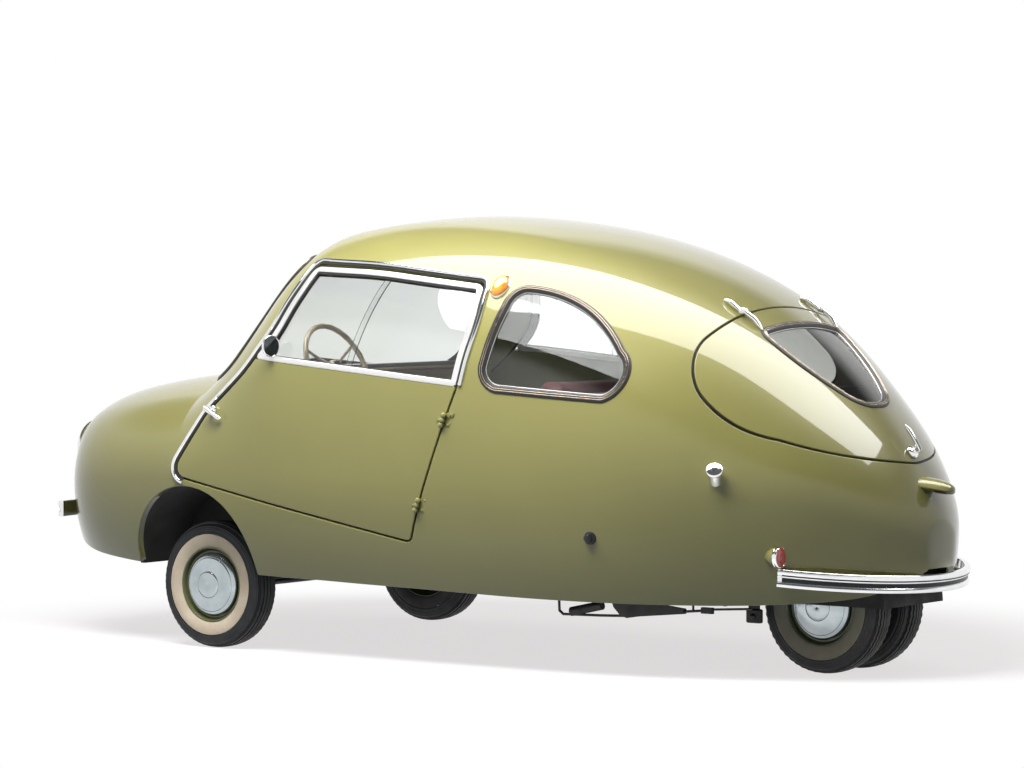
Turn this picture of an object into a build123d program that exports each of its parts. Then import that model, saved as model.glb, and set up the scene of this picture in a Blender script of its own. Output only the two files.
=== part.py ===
"""A small three wheeled car: an egg-shaped closed body on two steered front
wheels and a close pair of rear wheels, with two rear-hinged doors and a
top-hinged lid over the tail.  Millimetres; +X is the front, +Y the left side,
+Z up, and the ground is Z = 0 under the middle of the car."""
from build123d import *
import os
from math import cos, hypot, radians, sin, sqrt

os.makedirs("parts", exist_ok=True)

# ------------------------------------------------------------- driving sizes
wall = 25.0              # body, door and lid thickness
fit = 0.3                # clearance between a piece and its seat
shut_gap = 6.0           # gap round doors and lid
seal_width = 16.0        # rubber round fixed glass
seal_proud = 4.0         # how far the rubber stands off the skin
glass_depth = 8.0        # from the skin to the outer face of fixed glass
glass_thick = 5.0
pane_thick = 4.0         # one sliding door pane
rail_width = 15.0        # drip rail
rail_proud = 10.0
frame_width = 22.0       # metal frame of a door window

front_axle_x = 765.0
rear_axle_x = -1190.0
tyre_radius = 200.0
axle_z = tyre_radius     # wheel centre height
tyre_width = 104.0
rim_radius = 118.0
rim_width = 84.0
hubcap_radius = 100.0
hubcap_height = 26.0
front_track = 1110.0     # between the middles of the front wheels
rear_pair = 186.0        # between the middles of the rear wheels
stub_radius = 12.0
shaft_fit = 0.05         # running clearance of a wheel on its shaft

arch_x = 797.0           # front wheel opening, a circle in side view
arch_z = 248.0
arch_radius = 264.0
liner_wall = 5.0
liner_inner_y = 372.0    # inner wall of a front wheel housing

kingpin_y = 478.0
kingpin_radius = 9.0
steer_arm = 120.0        # from the kingpin back to the tie rod
tie_rod_radius = 8.0
tie_rod_eye = 9.5        # half height of the eyes at its ends

floor_z = 262.0          # top of the floor
floor_thick = 10.0

# --------------------------------------------------------- body section table
# One row is one cross-section of the closed body.
#   x      station along the car          top    height of the roof or hood
#   half   half width at its widest       mid    height of the widest place
#   foot   half width at the lower edge   low    height of the lower edge
#   full   squareness of the shoulder: 2 is an ellipse, 3 is a square egg
SECTIONS = [
    # x,     top, half,  mid, foot,  low, full
    (1516,   545,  205,  465,  178,  400, 2.60),
    (1500,   655,  360,  478,  330,  352, 2.80),
    (1460,   742,  462,  490,  424,  320, 2.80),
    (1370,   790,  545,  502,  496,  290, 2.70),
    (1200,   828,  615,  518,  562,  268, 2.65),
    (1000,   856,  660,  530,  604,  256, 2.65),
    (850,    868,  688,  538,  629,  253, 2.70),
    (750,    968,  697,  545,  637,  250, 2.65),
    (650,   1078,  705,  552,  645,  249, 2.80),
    (550,   1196,  713,  560,  652,  247, 3.00),
    (450,   1290,  720,  568,  658,  245, 3.20),
    (330,   1331,  724,  573,  661,  244, 3.20),
    (130,   1355,  726,  577,  663,  240, 3.10),
    (-120,  1346,  726,  580,  663,  236, 3.00),
    (-400,  1304,  720,  580,  655,  229, 2.80),
    (-700,  1216,  692,  575,  627,  225, 2.50),
    (-950,  1092,  622,  560,  557,  224, 2.30),
    (-1150,  942,  515,  535,  453,  226, 2.05),
    (-1300,  797,  401,  505,  348,  234, 1.95),
    (-1410,  666,  280,  466,  240,  250, 1.93),
    (-1480,  553,  178,  430,  150,  282, 1.95),
    (-1520,  470,   88,  402,   74,  322, 2.00),
]
X, TOP, HALF, MID, FOOT, LOW, FULL = range(7)
cowl = 6                 # the row where the hood ends and the windscreen starts
nose_rows = range(0, cowl + 1)
cabin_rows = range(cowl, len(SECTIONS))
skirt = 30.0             # how far a cutting form reaches below the lower edge

tail_split_x = -945.0    # the cabin and tail mouldings meet here


def slope(row, column):
    a, b = SECTIONS[max(row - 1, 0)], SECTIONS[min(row + 1, len(SECTIONS) - 1)]
    return (b[column] - a[column]) / (b[X] - a[X])


def inset_row(row, inset):
    """The section that lies `inset` inside the skin, measured square to it."""
    s = SECTIONS[row]
    side, crown = slope(row, HALF), slope(row, TOP)
    nx = -side / hypot(side, 1)
    x = s[X] - inset * nx if row != cowl else s[X]
    half = s[HALF] - inset / hypot(side, 1)
    crown_x = s[X] + inset * crown / hypot(crown, 1)
    top = s[TOP] - inset / hypot(crown, 1) + crown * (x - crown_x)
    low = s[LOW] if inset <= 0 else s[LOW] - skirt
    return x, top, half, s[MID], s[FOOT] - (s[HALF] - half), low, s[FULL]


def biarc(p0, t0, p1, t1):
    """Where two tangent arcs that join p0 to p1 meet, and their direction there."""
    vx, vy = p1[0] - p0[0], p1[1] - p0[1]
    tx, ty = t0[0] + t1[0], t0[1] + t1[1]
    vt, vv = vx * tx + vy * ty, vx * vx + vy * vy
    k = 2 * (1 - t0[0] * t1[0] - t0[1] * t1[1])
    d = (-vt + sqrt(vt * vt + k * vv)) / k
    ax, ay = p0[0] + d * t0[0], p0[1] + d * t0[1]
    bx, by = p1[0] - d * t1[0], p1[1] - d * t1[1]
    n = hypot(bx - ax, by - ay)
    return ((ax + bx) / 2, (ay + by) / 2), ((bx - ax) / n, (by - ay) / n)


def body_form(rows, inset):
    """The closed body between two rows, `inset` inside (or outside) the skin."""
    with BuildPart() as form:
        for row in rows:
            x, top, half, mid, foot, low, full = inset_row(row, inset)
            rise, share = top - mid, 2 ** (-1 / full)
            n = hypot(half, rise)
            shoulder, lean = (half * share, mid + rise * share), (-half / n, rise / n)
            with BuildSketch(Plane.YZ.offset(x)):
                with BuildLine():
                    Line((-foot, low), (foot, low))
                    for s in (1, -1):
                        TangentArc((s * half, mid), (s * foot, low), tangent=(0, -1))
                        p, t = biarc((half, mid), (0, 1), shoulder, lean)
                        TangentArc((s * half, mid), (s * p[0], p[1]), tangent=(0, 1))
                        TangentArc((s * p[0], p[1]), (s * shoulder[0], shoulder[1]),
                                   tangent=(s * t[0], t[1]))
                        p, t = biarc(shoulder, lean, (0, top), (-1, 0))
                        TangentArc((s * shoulder[0], shoulder[1]), (s * p[0], p[1]),
                                   tangent=(s * lean[0], lean[1]))
                        TangentArc((s * p[0], p[1]), (0, top), tangent=(s * t[0], t[1]))
                make_face()
        loft()
    return form.part


def whole_form(inset):
    with BuildPart() as form:
        add(body_form(nose_rows, inset))
        add(body_form(cabin_rows, inset))
    return form.part


SIDE = Plane.XZ                          # local x is X, local y is Z, normal -Y
reach = 900.0                            # further out than any skin
lid_origin = (-1200.0, 0.0, 850.0)       # the lid's openings are cut square to this
LID = Plane(origin=lid_origin, x_dir=(0, -1, 0), z_dir=(-1, 0, 1))

# ------------------------------------------------------------------- outlines
# Door outline in side view: x, z, corner radius
DOOR = [(850, 549, 34), (724, 745, 150), (552, 876, 600), (436, 1003, 250),
        (388, 1130, 400), (366, 1204, 24), (100, 1194, 2500), (-292, 1152, 30),
        (-310, 1035, 300), (-275, 850, 300), (-100, 380, 16)]
sill_front = (900.0, 951.0)              # the line where panel and window frame meet
sill_rear = (-500.0, 827.0)
pane_split_top = (38.0, 1250.0)          # the sliding panes overlap along this line
pane_split_foot = (150.0, 850.0)
pane_lap = 9.0


def outline(points, grow=0.0):
    with BuildSketch() as flat:
        with BuildLine():
            FilletPolyline(*[(p[0], p[1]) for p in points],
                           radius=[p[2] for p in points], close=True)
        make_face()
        if grow:
            offset(amount=grow, kind=Kind.ARC)
    return flat.sketch


def quarter_outline(grow=0.0):
    with BuildSketch() as flat:
        with BuildLine():
            Line((-358, 905), (-387, 1090))
            ThreePointArc((-387, 1090), (-402, 1127), (-440, 1139))
            ThreePointArc((-440, 1139), (-640, 1078), (-780, 957))
            ThreePointArc((-780, 957), (-812, 880), (-757, 818))
            Line((-757, 818), (-430, 840))
            ThreePointArc((-430, 840), (-378, 860), (-358, 905))
        make_face()
        if grow:
            offset(amount=grow, kind=Kind.ARC)
    return flat.sketch


def mirrored_outline(arcs, grow=0.0):
    """A closed outline from the arcs of its right half, each start, middle, end."""
    with BuildSketch() as flat:
        with BuildLine():
            for a, b, c in arcs:
                ThreePointArc(a, b, c)
                ThreePointArc((-a[0], a[1]), (-b[0], b[1]), (-c[0], c[1]))
        make_face()
        if grow:
            offset(amount=grow, kind=Kind.ARC)
    return flat.sketch


WINDSCREEN = [(610, 838, 60), (520, 1222, 95), (0, 1252, 3000), (-520, 1222, 95),
              (-610, 838, 60), (0, 893, 2500)]                    # y, z, radius
LID_EDGE = [((0, 325), (217, 310), (391, 274)), ((391, 274), (484, 204), (508, 120)),
            ((508, 120), (491, 26), (403, -112)), ((403, -112), (230, -255), (0, -322))]
REAR_GLASS = [((0, 242), (110, 241), (182, 236)), ((182, 236), (209, 223), (214, 198)),
              ((214, 198), (178, 62), (112, -62)), ((112, -62), (70, -98), (0, -112))]


def side_prism(face, low_y, high_y):
    """A side-view face swept across the car between two Y values."""
    with BuildPart() as prism:
        with BuildSketch(SIDE.offset(-low_y)):
            add(face)
        extrude(amount=-(high_y - low_y))
    return prism.part


def front_prism(face, low_x, high_x):
    with BuildPart() as prism:
        with BuildSketch(Plane.YZ.offset(low_x)):
            add(face)
        extrude(amount=high_x - low_x)
    return prism.part


def lid_prism(face, inner=-230.0, outer=420.0):
    with BuildPart() as prism:
        with BuildSketch(LID.offset(inner)):
            add(face)
        extrude(amount=outer - inner)
    return prism.part


def block(x0, x1, y0, y1, z0, z1):
    with BuildPart() as b:
        with Locations(((x0 + x1) / 2, (y0 + y1) / 2, (z0 + z1) / 2)):
            Box(x1 - x0, y1 - y0, z1 - z0)
    return b.part


def rod(start, end, radius):
    """A round bar between two points."""
    d = Vector(*end) - Vector(*start)
    with BuildPart() as bar:
        with BuildSketch(Plane(origin=start, z_dir=d)):
            Circle(radius)
        extrude(amount=d.length)
    return bar.part


def dome(a, b):
    """A middle point of the arc from a to b, both (along, radius), centred on the axis."""
    centre = (b[0] ** 2 + b[1] ** 2 - a[0] ** 2 - a[1] ** 2) / (2 * (b[0] - a[0]))
    radius, middle = hypot(a[0] - centre, a[1]), (a[1] + b[1]) / 2
    return centre + sqrt(radius ** 2 - middle ** 2), middle


both = (1, -1)           # left and right


def sided(part, s):
    return part if s == 1 else mirror(part, about=Plane.XZ)


def piece(name, solids):
    solids.label = name
    export_step(solids, f"parts/{name}.step")


# ------------------------------------------------------------ common cutters
skin = whole_form(0)
clear_skin = whole_form(-fit)
cavity = whole_form(wall)
clear_cavity = whole_form(wall + fit)
rail_form = whole_form(-rail_proud)
cabin_cavity = body_form(cabin_rows, wall)
seal_form = body_form(cabin_rows, -seal_proud)
glass_out = body_form(cabin_rows, glass_depth)
glass_in = body_form(cabin_rows, glass_depth + glass_thick)
pane_form = [body_form(cabin_rows, d) for d in
             (wall / 2 - pane_thick - 1, wall / 2 - 1, wall / 2 + 1, wall / 2 + pane_thick + 1)]

door_face = outline(DOOR)
door_opening = side_prism(outline(DOOR, shut_gap), 300, reach)
screen_cut = front_prism(outline(WINDSCREEN), 330, reach)
quarter_cut = side_prism(quarter_outline(), 300, reach)
lid_opening = lid_prism(mirrored_outline(LID_EDGE, shut_gap))
with BuildPart() as arch_cut:
    with BuildSketch(SIDE.offset(-liner_inner_y)):
        with Locations((arch_x, arch_z)):
            Circle(arch_radius)
    extrude(amount=-(reach - liner_inner_y))

# --------------------------------------------------------------- body panels
headlamp_y, headlamp_z = 300.0, 596.0
headlamp_radius = 80.0                   # the bucket that fills the hole
pod_radius = 96.0                        # fairing round each headlamp
pod_face_x = 1502.0

with BuildPart() as shell:
    add(skin)
    for s in both:
        add(rod((1380, s * headlamp_y, headlamp_z), (pod_face_x, s * headlamp_y, headlamp_z),
                pod_radius))
    add(cavity, mode=Mode.SUBTRACT)
    for s in both:
        for cut in (door_opening, quarter_cut, arch_cut.part):
            add(sided(cut, s), mode=Mode.SUBTRACT)
    add(screen_cut, mode=Mode.SUBTRACT)
    add(lid_opening, mode=Mode.SUBTRACT)
    for s in both:
        add(rod((1380, s * headlamp_y, headlamp_z), (1560, s * headlamp_y, headlamp_z),
                headlamp_radius + fit), mode=Mode.SUBTRACT)
        add(rod((pod_face_x, s * headlamp_y, headlamp_z), (1560, s * headlamp_y, headlamp_z),
                pod_radius), mode=Mode.SUBTRACT)

with BuildPart() as nose_body:
    add(shell.part)
    split(bisect_by=Plane.YZ.offset(SECTIONS[cowl][X]), keep=Keep.TOP)
piece("nose_body", nose_body.part)

with BuildPart() as cabin_body:
    add(shell.part)
    split(bisect_by=Plane.YZ.offset(SECTIONS[cowl][X]), keep=Keep.BOTTOM)
    split(bisect_by=Plane.YZ.offset(tail_split_x), keep=Keep.TOP)
piece("cabin_body", cabin_body.part)

with BuildPart() as tail_body:
    add(shell.part)
    split(bisect_by=Plane.YZ.offset(tail_split_x), keep=Keep.BOTTOM)
piece("tail_body", tail_body.part)

# ------------------------------------------------------------------- glazing
with BuildPart() as glass_band:
    add(glass_out)
    add(glass_in, mode=Mode.SUBTRACT)
with BuildPart() as glass_cuts:
    add(front_prism(outline(WINDSCREEN, -seal_width - fit), 330, reach))
    for s in both:
        add(sided(side_prism(quarter_outline(-seal_width - fit), 300, reach), s))
with BuildPart() as fixed_windows:
    add(glass_band.part)
    add(glass_cuts.part, mode=Mode.INTERSECT)
piece("fixed_windows", fixed_windows.part)

with BuildPart() as seal_band:
    add(seal_form)
    add(cabin_cavity, mode=Mode.SUBTRACT)
with BuildPart() as seal_cuts:
    add(front_prism(outline(WINDSCREEN, -fit), 330, reach))
    for s in both:
        add(sided(side_prism(quarter_outline(-fit), 300, reach), s))
with BuildPart() as seal_holes:
    add(front_prism(outline(WINDSCREEN, -seal_width), 320, reach + 10))
    for s in both:
        add(sided(side_prism(quarter_outline(-seal_width), 290, reach + 10), s))
with BuildPart() as window_seals:
    add(seal_band.part)
    add(seal_cuts.part, mode=Mode.INTERSECT)
    add(seal_holes.part, mode=Mode.SUBTRACT)
piece("window_seals", window_seals.part)

# ---------------------------------------------------------------- drip rails
with BuildPart() as rail_left:
    add(side_prism(outline(DOOR, shut_gap + rail_width), 300, reach))
    add(side_prism(outline(DOOR, shut_gap), 290, reach + 10), mode=Mode.SUBTRACT)
    with BuildSketch(SIDE.offset(-290)):          # the rail stops short of these
        with BuildLine():
            Polyline((-450, 846), (-220, 846), (-20, 420), (790, 560), (790, 300),
                     (-450, 300), close=True)
        make_face()
    extrude(amount=-(reach - 280), mode=Mode.SUBTRACT)
    add(rail_form, mode=Mode.INTERSECT)
    add(clear_skin, mode=Mode.SUBTRACT)
with BuildPart() as drip_rails:
    for s in both:
        add(sided(rail_left.part, s))
piece("drip_rails", drip_rails.part)

# --------------------------------------------------------------------- doors
hinge_y = 730.0                         # axis of the door hinges, just off the skin
hinge_radius = 6.5
hinge_pin_radius = 3.0
hinge_heights = (491.0, 748.0)
hinge_length = 46.0
hinge_leaf = 20.0                       # leaf width along the skin
leaf_step = 2.5                         # how far the body's leaves stop short of the leaning knuckle
edge_top, edge_foot = (-278.0, 851.0), (-103.0, 381.0)     # middle of the rear shut line
lean_run = (edge_foot[0] - edge_top[0]) / (edge_top[1] - edge_foot[1])
hinge_up = Vector(-lean_run, 0, 1).normalized()


def hinge_point(z, along=0.0):
    base = Vector(edge_top[0] + (edge_top[1] - z) * lean_run, hinge_y, z)
    p = base + hinge_up * along
    return (p.X, p.Y, p.Z)


def below_sill(z_shift=0.0):
    with BuildSketch() as flat:
        with BuildLine():
            Polyline((sill_front[0], sill_front[1] + z_shift),
                     (sill_rear[0], sill_rear[1] + z_shift),
                     (sill_rear[0], 200), (sill_front[0], 200), close=True)
        make_face()
    return flat.sketch


sill_bar = 12.0
with BuildPart() as door_blank:
    add(side_prism(door_face, 300, reach))
    add(skin, mode=Mode.INTERSECT)
    add(cavity, mode=Mode.SUBTRACT)
with BuildPart() as door_left:
    add(door_blank.part)
    add(side_prism(below_sill(), 290, reach + 10), mode=Mode.INTERSECT)
    for z in hinge_heights:
        x, y, _ = hinge_point(z)
        third = hinge_length / 3 - 1
        for a, b in ((-hinge_length, -third / 2), (third / 2, hinge_length)):
            add(rod(hinge_point(z, a), hinge_point(z, b), hinge_radius + fit), mode=Mode.SUBTRACT)
        add(block(x + 10, x + 10 + hinge_leaf, y - 14, y - 1.5, z - third / 2, z + third / 2))
        add(block(x, x + 12, y - 4.5, y - 1.5, z - 4, z + 4))
        add(rod(hinge_point(z, -third / 2), hinge_point(z, third / 2), hinge_radius))
        add(rod(hinge_point(z, -hinge_length), hinge_point(z, hinge_length),
                hinge_pin_radius + fit), mode=Mode.SUBTRACT)
piece("door_left", door_left.part)
with BuildPart() as door_right:
    add(mirror(door_left.part, about=Plane.XZ))
piece("door_right", door_right.part)

with BuildPart() as hinge_set:
    for z in hinge_heights:
        x, y, _ = hinge_point(z)
        third = hinge_length / 3
        add(rod(hinge_point(z, -hinge_length / 2), hinge_point(z, hinge_length / 2), hinge_pin_radius))
        for a in (-hinge_length / 2, third / 2):
            add(rod(hinge_point(z, a), hinge_point(z, a + third), hinge_radius))
            centre = hinge_point(z, a + third / 2)
            half = third / 2 - leaf_step
            add(block(centre[0] - 2 - hinge_leaf, centre[0] - 2, hinge_y - 14, hinge_y - 1,
                      centre[2] - half, centre[2] + half))
        add(block(x - 10 - hinge_leaf, x - 14, hinge_y - 14, hinge_y - 1,
                  z - hinge_length / 2, z + hinge_length / 2))
    add(clear_skin, mode=Mode.SUBTRACT)
with BuildPart() as door_hinges:
    for s in both:
        add(sided(hinge_set.part, s))
piece("door_hinges", door_hinges.part)

# the head of the frame is bevelled square to the skin, so that it can swing out
edge_run = Vector(392, -6, 42).normalized()
skin_out = Vector(0, 0.74, 0.67)
bevel = Plane(origin=(-292, 580, 1152), z_dir=edge_run.cross(skin_out))
pane_face = outline(DOOR, -frame_width)
with BuildPart() as frame_left:
    add(door_blank.part)
    add(side_prism(below_sill(fit), 290, reach + 10), mode=Mode.SUBTRACT)
    with BuildSketch(SIDE.offset(-290)) as hole:
        add(pane_face)
        add(below_sill(sill_bar), mode=Mode.SUBTRACT)
    extrude(hole.sketch, amount=-(reach - 280), mode=Mode.SUBTRACT)
    split(bisect_by=bevel, keep=Keep.BOTTOM)
frame_sides = {s: sided(frame_left.part, s) for s in both}
with BuildPart() as door_window_frame_left:
    add(frame_sides[1])
with BuildPart() as door_window_frame_right:
    add(frame_sides[-1])
piece("door_window_frame_left", door_window_frame_left.part)
piece("door_window_frame_right", door_window_frame_right.part)


def pane(outer, inner, front):
    (xt, zt), (xf, zf) = pane_split_top, pane_split_foot
    lap = -pane_lap if front else pane_lap
    far = reach if front else -reach
    with BuildPart() as glass:
        with BuildSketch(SIDE.offset(-290)) as hole:
            add(outline(DOOR, -frame_width - fit))
            add(below_sill(sill_bar + fit), mode=Mode.SUBTRACT)
            with BuildLine():
                Polyline((xt + lap, zt), (xf + lap, zf), (far, zf), (far, zt), close=True)
            make_face(mode=Mode.INTERSECT)
        extrude(hole.sketch, amount=-(reach - 290))
        add(outer, mode=Mode.INTERSECT)
        add(inner, mode=Mode.SUBTRACT)
    return glass.part


with BuildPart() as door_glass_left:
    add(pane(pane_form[2], pane_form[3], True))
    add(pane(pane_form[0], pane_form[1], False))
piece("door_glass_left", door_glass_left.part)
with BuildPart() as door_glass_right:
    add(mirror(door_glass_left.part, about=Plane.XZ))
piece("door_glass_right", door_glass_right.part)

# ----------------------------------------------------------------- rear lid
lid_axis = (-973.0, 1072.0)             # x, z of the lid's hinge pins
lid_hinge_y = 221.0
lid_pin_radius = 4.0
lid_knuckle = 8.5
strap_width = 20.0
glass_edge = mirrored_outline(REAR_GLASS)
with BuildPart() as rear_lid:
    add(lid_prism(mirrored_outline(LID_EDGE)))
    add(skin, mode=Mode.INTERSECT)
    add(cavity, mode=Mode.SUBTRACT)
    add(lid_prism(glass_edge), mode=Mode.SUBTRACT)
piece("rear_lid", rear_lid.part)
with BuildPart() as rear_window:
    add(lid_prism(mirrored_outline(REAR_GLASS, -seal_width - fit)))
    add(glass_out, mode=Mode.INTERSECT)
    add(glass_in, mode=Mode.SUBTRACT)
piece("rear_window", rear_window.part)
with BuildPart() as rear_window_seal:
    add(lid_prism(mirrored_outline(REAR_GLASS, -fit)))
    add(lid_prism(mirrored_outline(REAR_GLASS, -seal_width), -240, 430), mode=Mode.SUBTRACT)
    add(seal_form, mode=Mode.INTERSECT)
    add(cabin_cavity, mode=Mode.SUBTRACT)
piece("rear_window_seal", rear_window_seal.part)

# the hinge line: a fork and pin on the body, a bored strap on the lid
ax, az = lid_axis
fork_gap, fork_out = 9.0, 15.0
with BuildPart() as lid_hinges:
    for y in (lid_hinge_y, -lid_hinge_y):
        add(rod((-905, y * 0.97, 1101), (ax + 18, y, 1072), 8))
        add(block(ax + 14, ax + 22, y - fork_out, y + fork_out, az - 8, az + 8))
        for a, b in ((-fork_out, -fork_gap), (fork_gap, fork_out)):
            add(block(ax, ax + 16, y + a, y + b, az - 7, az + 7))
            add(rod((ax, y + a, az), (ax, y + b, az), lid_knuckle))
        add(rod((ax, y - fork_out, az), (ax, y + fork_out, az), lid_pin_radius))
    add(clear_skin, mode=Mode.SUBTRACT)
piece("lid_hinges", lid_hinges.part)

handle_at = Vector(-1424, 0, 659)
handle_out = Vector(-0.82, 0, 0.57)      # square to the skin
handle_up = Vector(0.57, 0, 0.82)
with BuildPart() as lid_hardware:
    for y in (lid_hinge_y, -lid_hinge_y):
        add(rod((ax - 4, y, az - 3), (ax - 59, y * 0.955, az - 54), 8))
        add(rod((ax, y - 8, az), (ax, y + 8, az), lid_knuckle))
        add(rod((ax, y - 20, az), (ax, y + 20, az), lid_pin_radius + fit), mode=Mode.SUBTRACT)
    foot, tip = handle_at - handle_out * 8, handle_at + handle_out * 26
    add(rod(tuple(foot), tuple(handle_at + handle_out * 6), 19))
    add(rod(tuple(foot), tuple(tip), 7))
    with BuildSketch(Plane(origin=handle_at + handle_out * 18, x_dir=handle_up, z_dir=handle_out)):
        with Locations((34, 0)):
            SlotOverall(96, 15)
    extrude(amount=12)
    add(clear_skin, mode=Mode.SUBTRACT)
piece("lid_hardware", lid_hardware.part)

# ------------------------------------------------------------------- bumpers
bumper_depth = 22.0
bumper_height = 53.0
rear_bumper_z, rear_bumper_radius, rear_bumper_x, rear_bumper_end = 309.0, 490.0, -1548.0, 455.0
rear_bumper_drop = 5.3                   # degrees that it hangs down towards the back
front_bumper_z, front_bumper_radius, front_bumper_x, front_bumper_end = 403.0, 2600.0, 1563.0, 480.0
stay_height = 24.0


def bumper(apex, radius, end, z, facing, stay_y, stay_root, drop=0.0):
    """An arc of bar in plan with two stays back to the skin, turned down about its ends by drop."""
    middle = apex - facing * radius
    with BuildPart() as bar:
        with BuildSketch(Plane.XY.offset(z - bumper_height / 2)):
            with Locations((middle, 0)):
                Circle(radius)
                Circle(radius - bumper_depth, mode=Mode.SUBTRACT)
            with Locations((middle + facing * radius, 0)):
                Rectangle(2 * radius, 2 * end, mode=Mode.INTERSECT)
        extrude(amount=bumper_height)
        fillet(bar.edges().filter_by(GeomType.CIRCLE), radius=8)
        inner = radius - bumper_depth / 2
        for y in (stay_y, -stay_y):
            x = middle + facing * sqrt(inner ** 2 - y ** 2)
            add(block(min(x, stay_root), max(x, stay_root), y - 14, y + 14,
                      z - stay_height / 2, z + stay_height / 2))
    ends_x = middle + facing * sqrt(radius ** 2 - end ** 2)
    with BuildPart() as hung:
        add(bar.part.rotate(Axis((ends_x, 0, z), (0, 1, 0)), -drop))
        add(clear_skin, mode=Mode.SUBTRACT)
    return hung.part


with BuildPart() as front_bumper:
    add(bumper(front_bumper_x, front_bumper_radius, front_bumper_end, front_bumper_z, 1, 250, 1440))
piece("front_bumper", front_bumper.part)
with BuildPart() as rear_bumper:
    add(bumper(rear_bumper_x, rear_bumper_radius, rear_bumper_end, rear_bumper_z, -1, 230, -1360,
               rear_bumper_drop))
piece("rear_bumper", rear_bumper.part)

# ------------------------------------------------------ lamps and small fittings
with BuildPart() as headlamps:
    for s in both:
        with BuildSketch(Plane(origin=(0, s * headlamp_y, headlamp_z), x_dir=(1, 0, 0), z_dir=(0, -1, 0))):
            with BuildLine():
                x0 = pod_face_x + fit
                Polyline((1405, 0), (1405, headlamp_radius), (x0, headlamp_radius),
                         (x0, 92), (x0 + 8, 92), (x0 + 14, 86), (x0 + 14, 80))
                ThreePointArc((x0 + 14, 80), dome((x0 + 14, 80), (x0 + 26, 0)), (x0 + 26, 0))
                Line((x0 + 26, 0), (1405, 0))
            make_face()
        revolve(axis=Axis((0, s * headlamp_y, headlamp_z), (1, 0, 0)))
piece("headlamps", headlamps.part)

turn_lamp_at = Vector(-346, 579, 1142)
turn_lamp_out = Vector(-0.18, 0.70, 0.69)
with BuildPart() as turn_lamp:
    lamp_foot = turn_lamp_at - turn_lamp_out * 12
    with BuildSketch(Plane(origin=lamp_foot, x_dir=(0.35, -0.6, 0.7), z_dir=turn_lamp_out)):
        Ellipse(37, 20)
    extrude(amount=34)
    fillet(turn_lamp.faces().sort_by(Axis.Y)[-1].edges(), radius=8)
    add(clear_skin, mode=Mode.SUBTRACT)
with BuildPart() as turn_lamps:
    for s in both:
        add(sided(turn_lamp.part, s))
piece("turn_lamps", turn_lamps.part)

tail_lamp_radius = 28.5
tail_lamp_rise = 4.0                     # gap over the bumper's end, which tips up as the bar hangs
tail_lamp_at = (-1245.0, 447.0, rear_bumper_z + bumper_height / 2 + tail_lamp_radius + tail_lamp_rise)
with BuildPart() as tail_lamps:
    for s in both:
        x, y, z = tail_lamp_at
        add(rod((x + 90, s * y, z), (x, s * y, z), tail_lamp_radius))
    add(clear_skin, mode=Mode.SUBTRACT)
piece("tail_lamps", tail_lamps.part)

plate_lamp_tip = -1563.0
with BuildPart() as plate_lamp:
    for x, z, a, b in ((-1410, 566, 50, 24), (-1480, 562, 44, 25), (-1540, 554, 32, 20),
                       (plate_lamp_tip, 550, 16, 11)):
        with BuildSketch(Plane.YZ.offset(x)):
            with Locations((0, z)):
                Ellipse(a, b)
    loft()
    add(clear_skin, mode=Mode.SUBTRACT)
piece("plate_lamp", plate_lamp.part)

filler_foot = Vector(-1080, 535, 583)
filler_out = Vector(-0.35, 0.65, 0.67).normalized()
with BuildPart() as fuel_cap:
    add(rod(tuple(filler_foot), tuple(filler_foot + filler_out * 62), 21))
    add(rod(tuple(filler_foot + filler_out * 52), tuple(filler_foot + filler_out * 62), 25))
    add(clear_skin, mode=Mode.SUBTRACT)
piece("fuel_cap", fuel_cap.part)

plug_at = (-734.0, 672.0, 416.0)
with BuildPart() as side_plug:
    x, y, z = plug_at
    add(rod((x, y - 20, z), (x, y + 6, z), 19))
    add(rod((x, y, z), (x, y + 20, z), 13))
    fillet(side_plug.faces().sort_by(Axis.Y)[-1].edges(), radius=9)
    add(clear_skin, mode=Mode.SUBTRACT)
piece("side_plug", side_plug.part)

handle_base = (690.0, 700.0, 752.0)
with BuildPart() as door_handle_left:
    x, y, z = handle_base
    add(rod((x, y - 40, z), (x, y - 12, z), 15))
    add(rod((x, y - 30, z), (x, y + 6, z), 7))
    add(rod((x + 12, y + 2, z + 8), (x - 48, y + 2, z - 22), 7.5))
    add(clear_skin, mode=Mode.SUBTRACT)
piece("door_handle_left", door_handle_left.part)
with BuildPart() as door_handle_right:
    add(mirror(door_handle_left.part, about=Plane.XZ))
piece("door_handle_right", door_handle_right.part)

mirror_radius = 34.0
with BuildPart() as door_mirror:
    add(rod((476, 640, 950), (432, 716, 957), 5))
    add(rod((442, 716, 957), (420, 720, 957), mirror_radius))
    add(clear_skin, mode=Mode.SUBTRACT)
piece("door_mirror", door_mirror.part)
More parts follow.
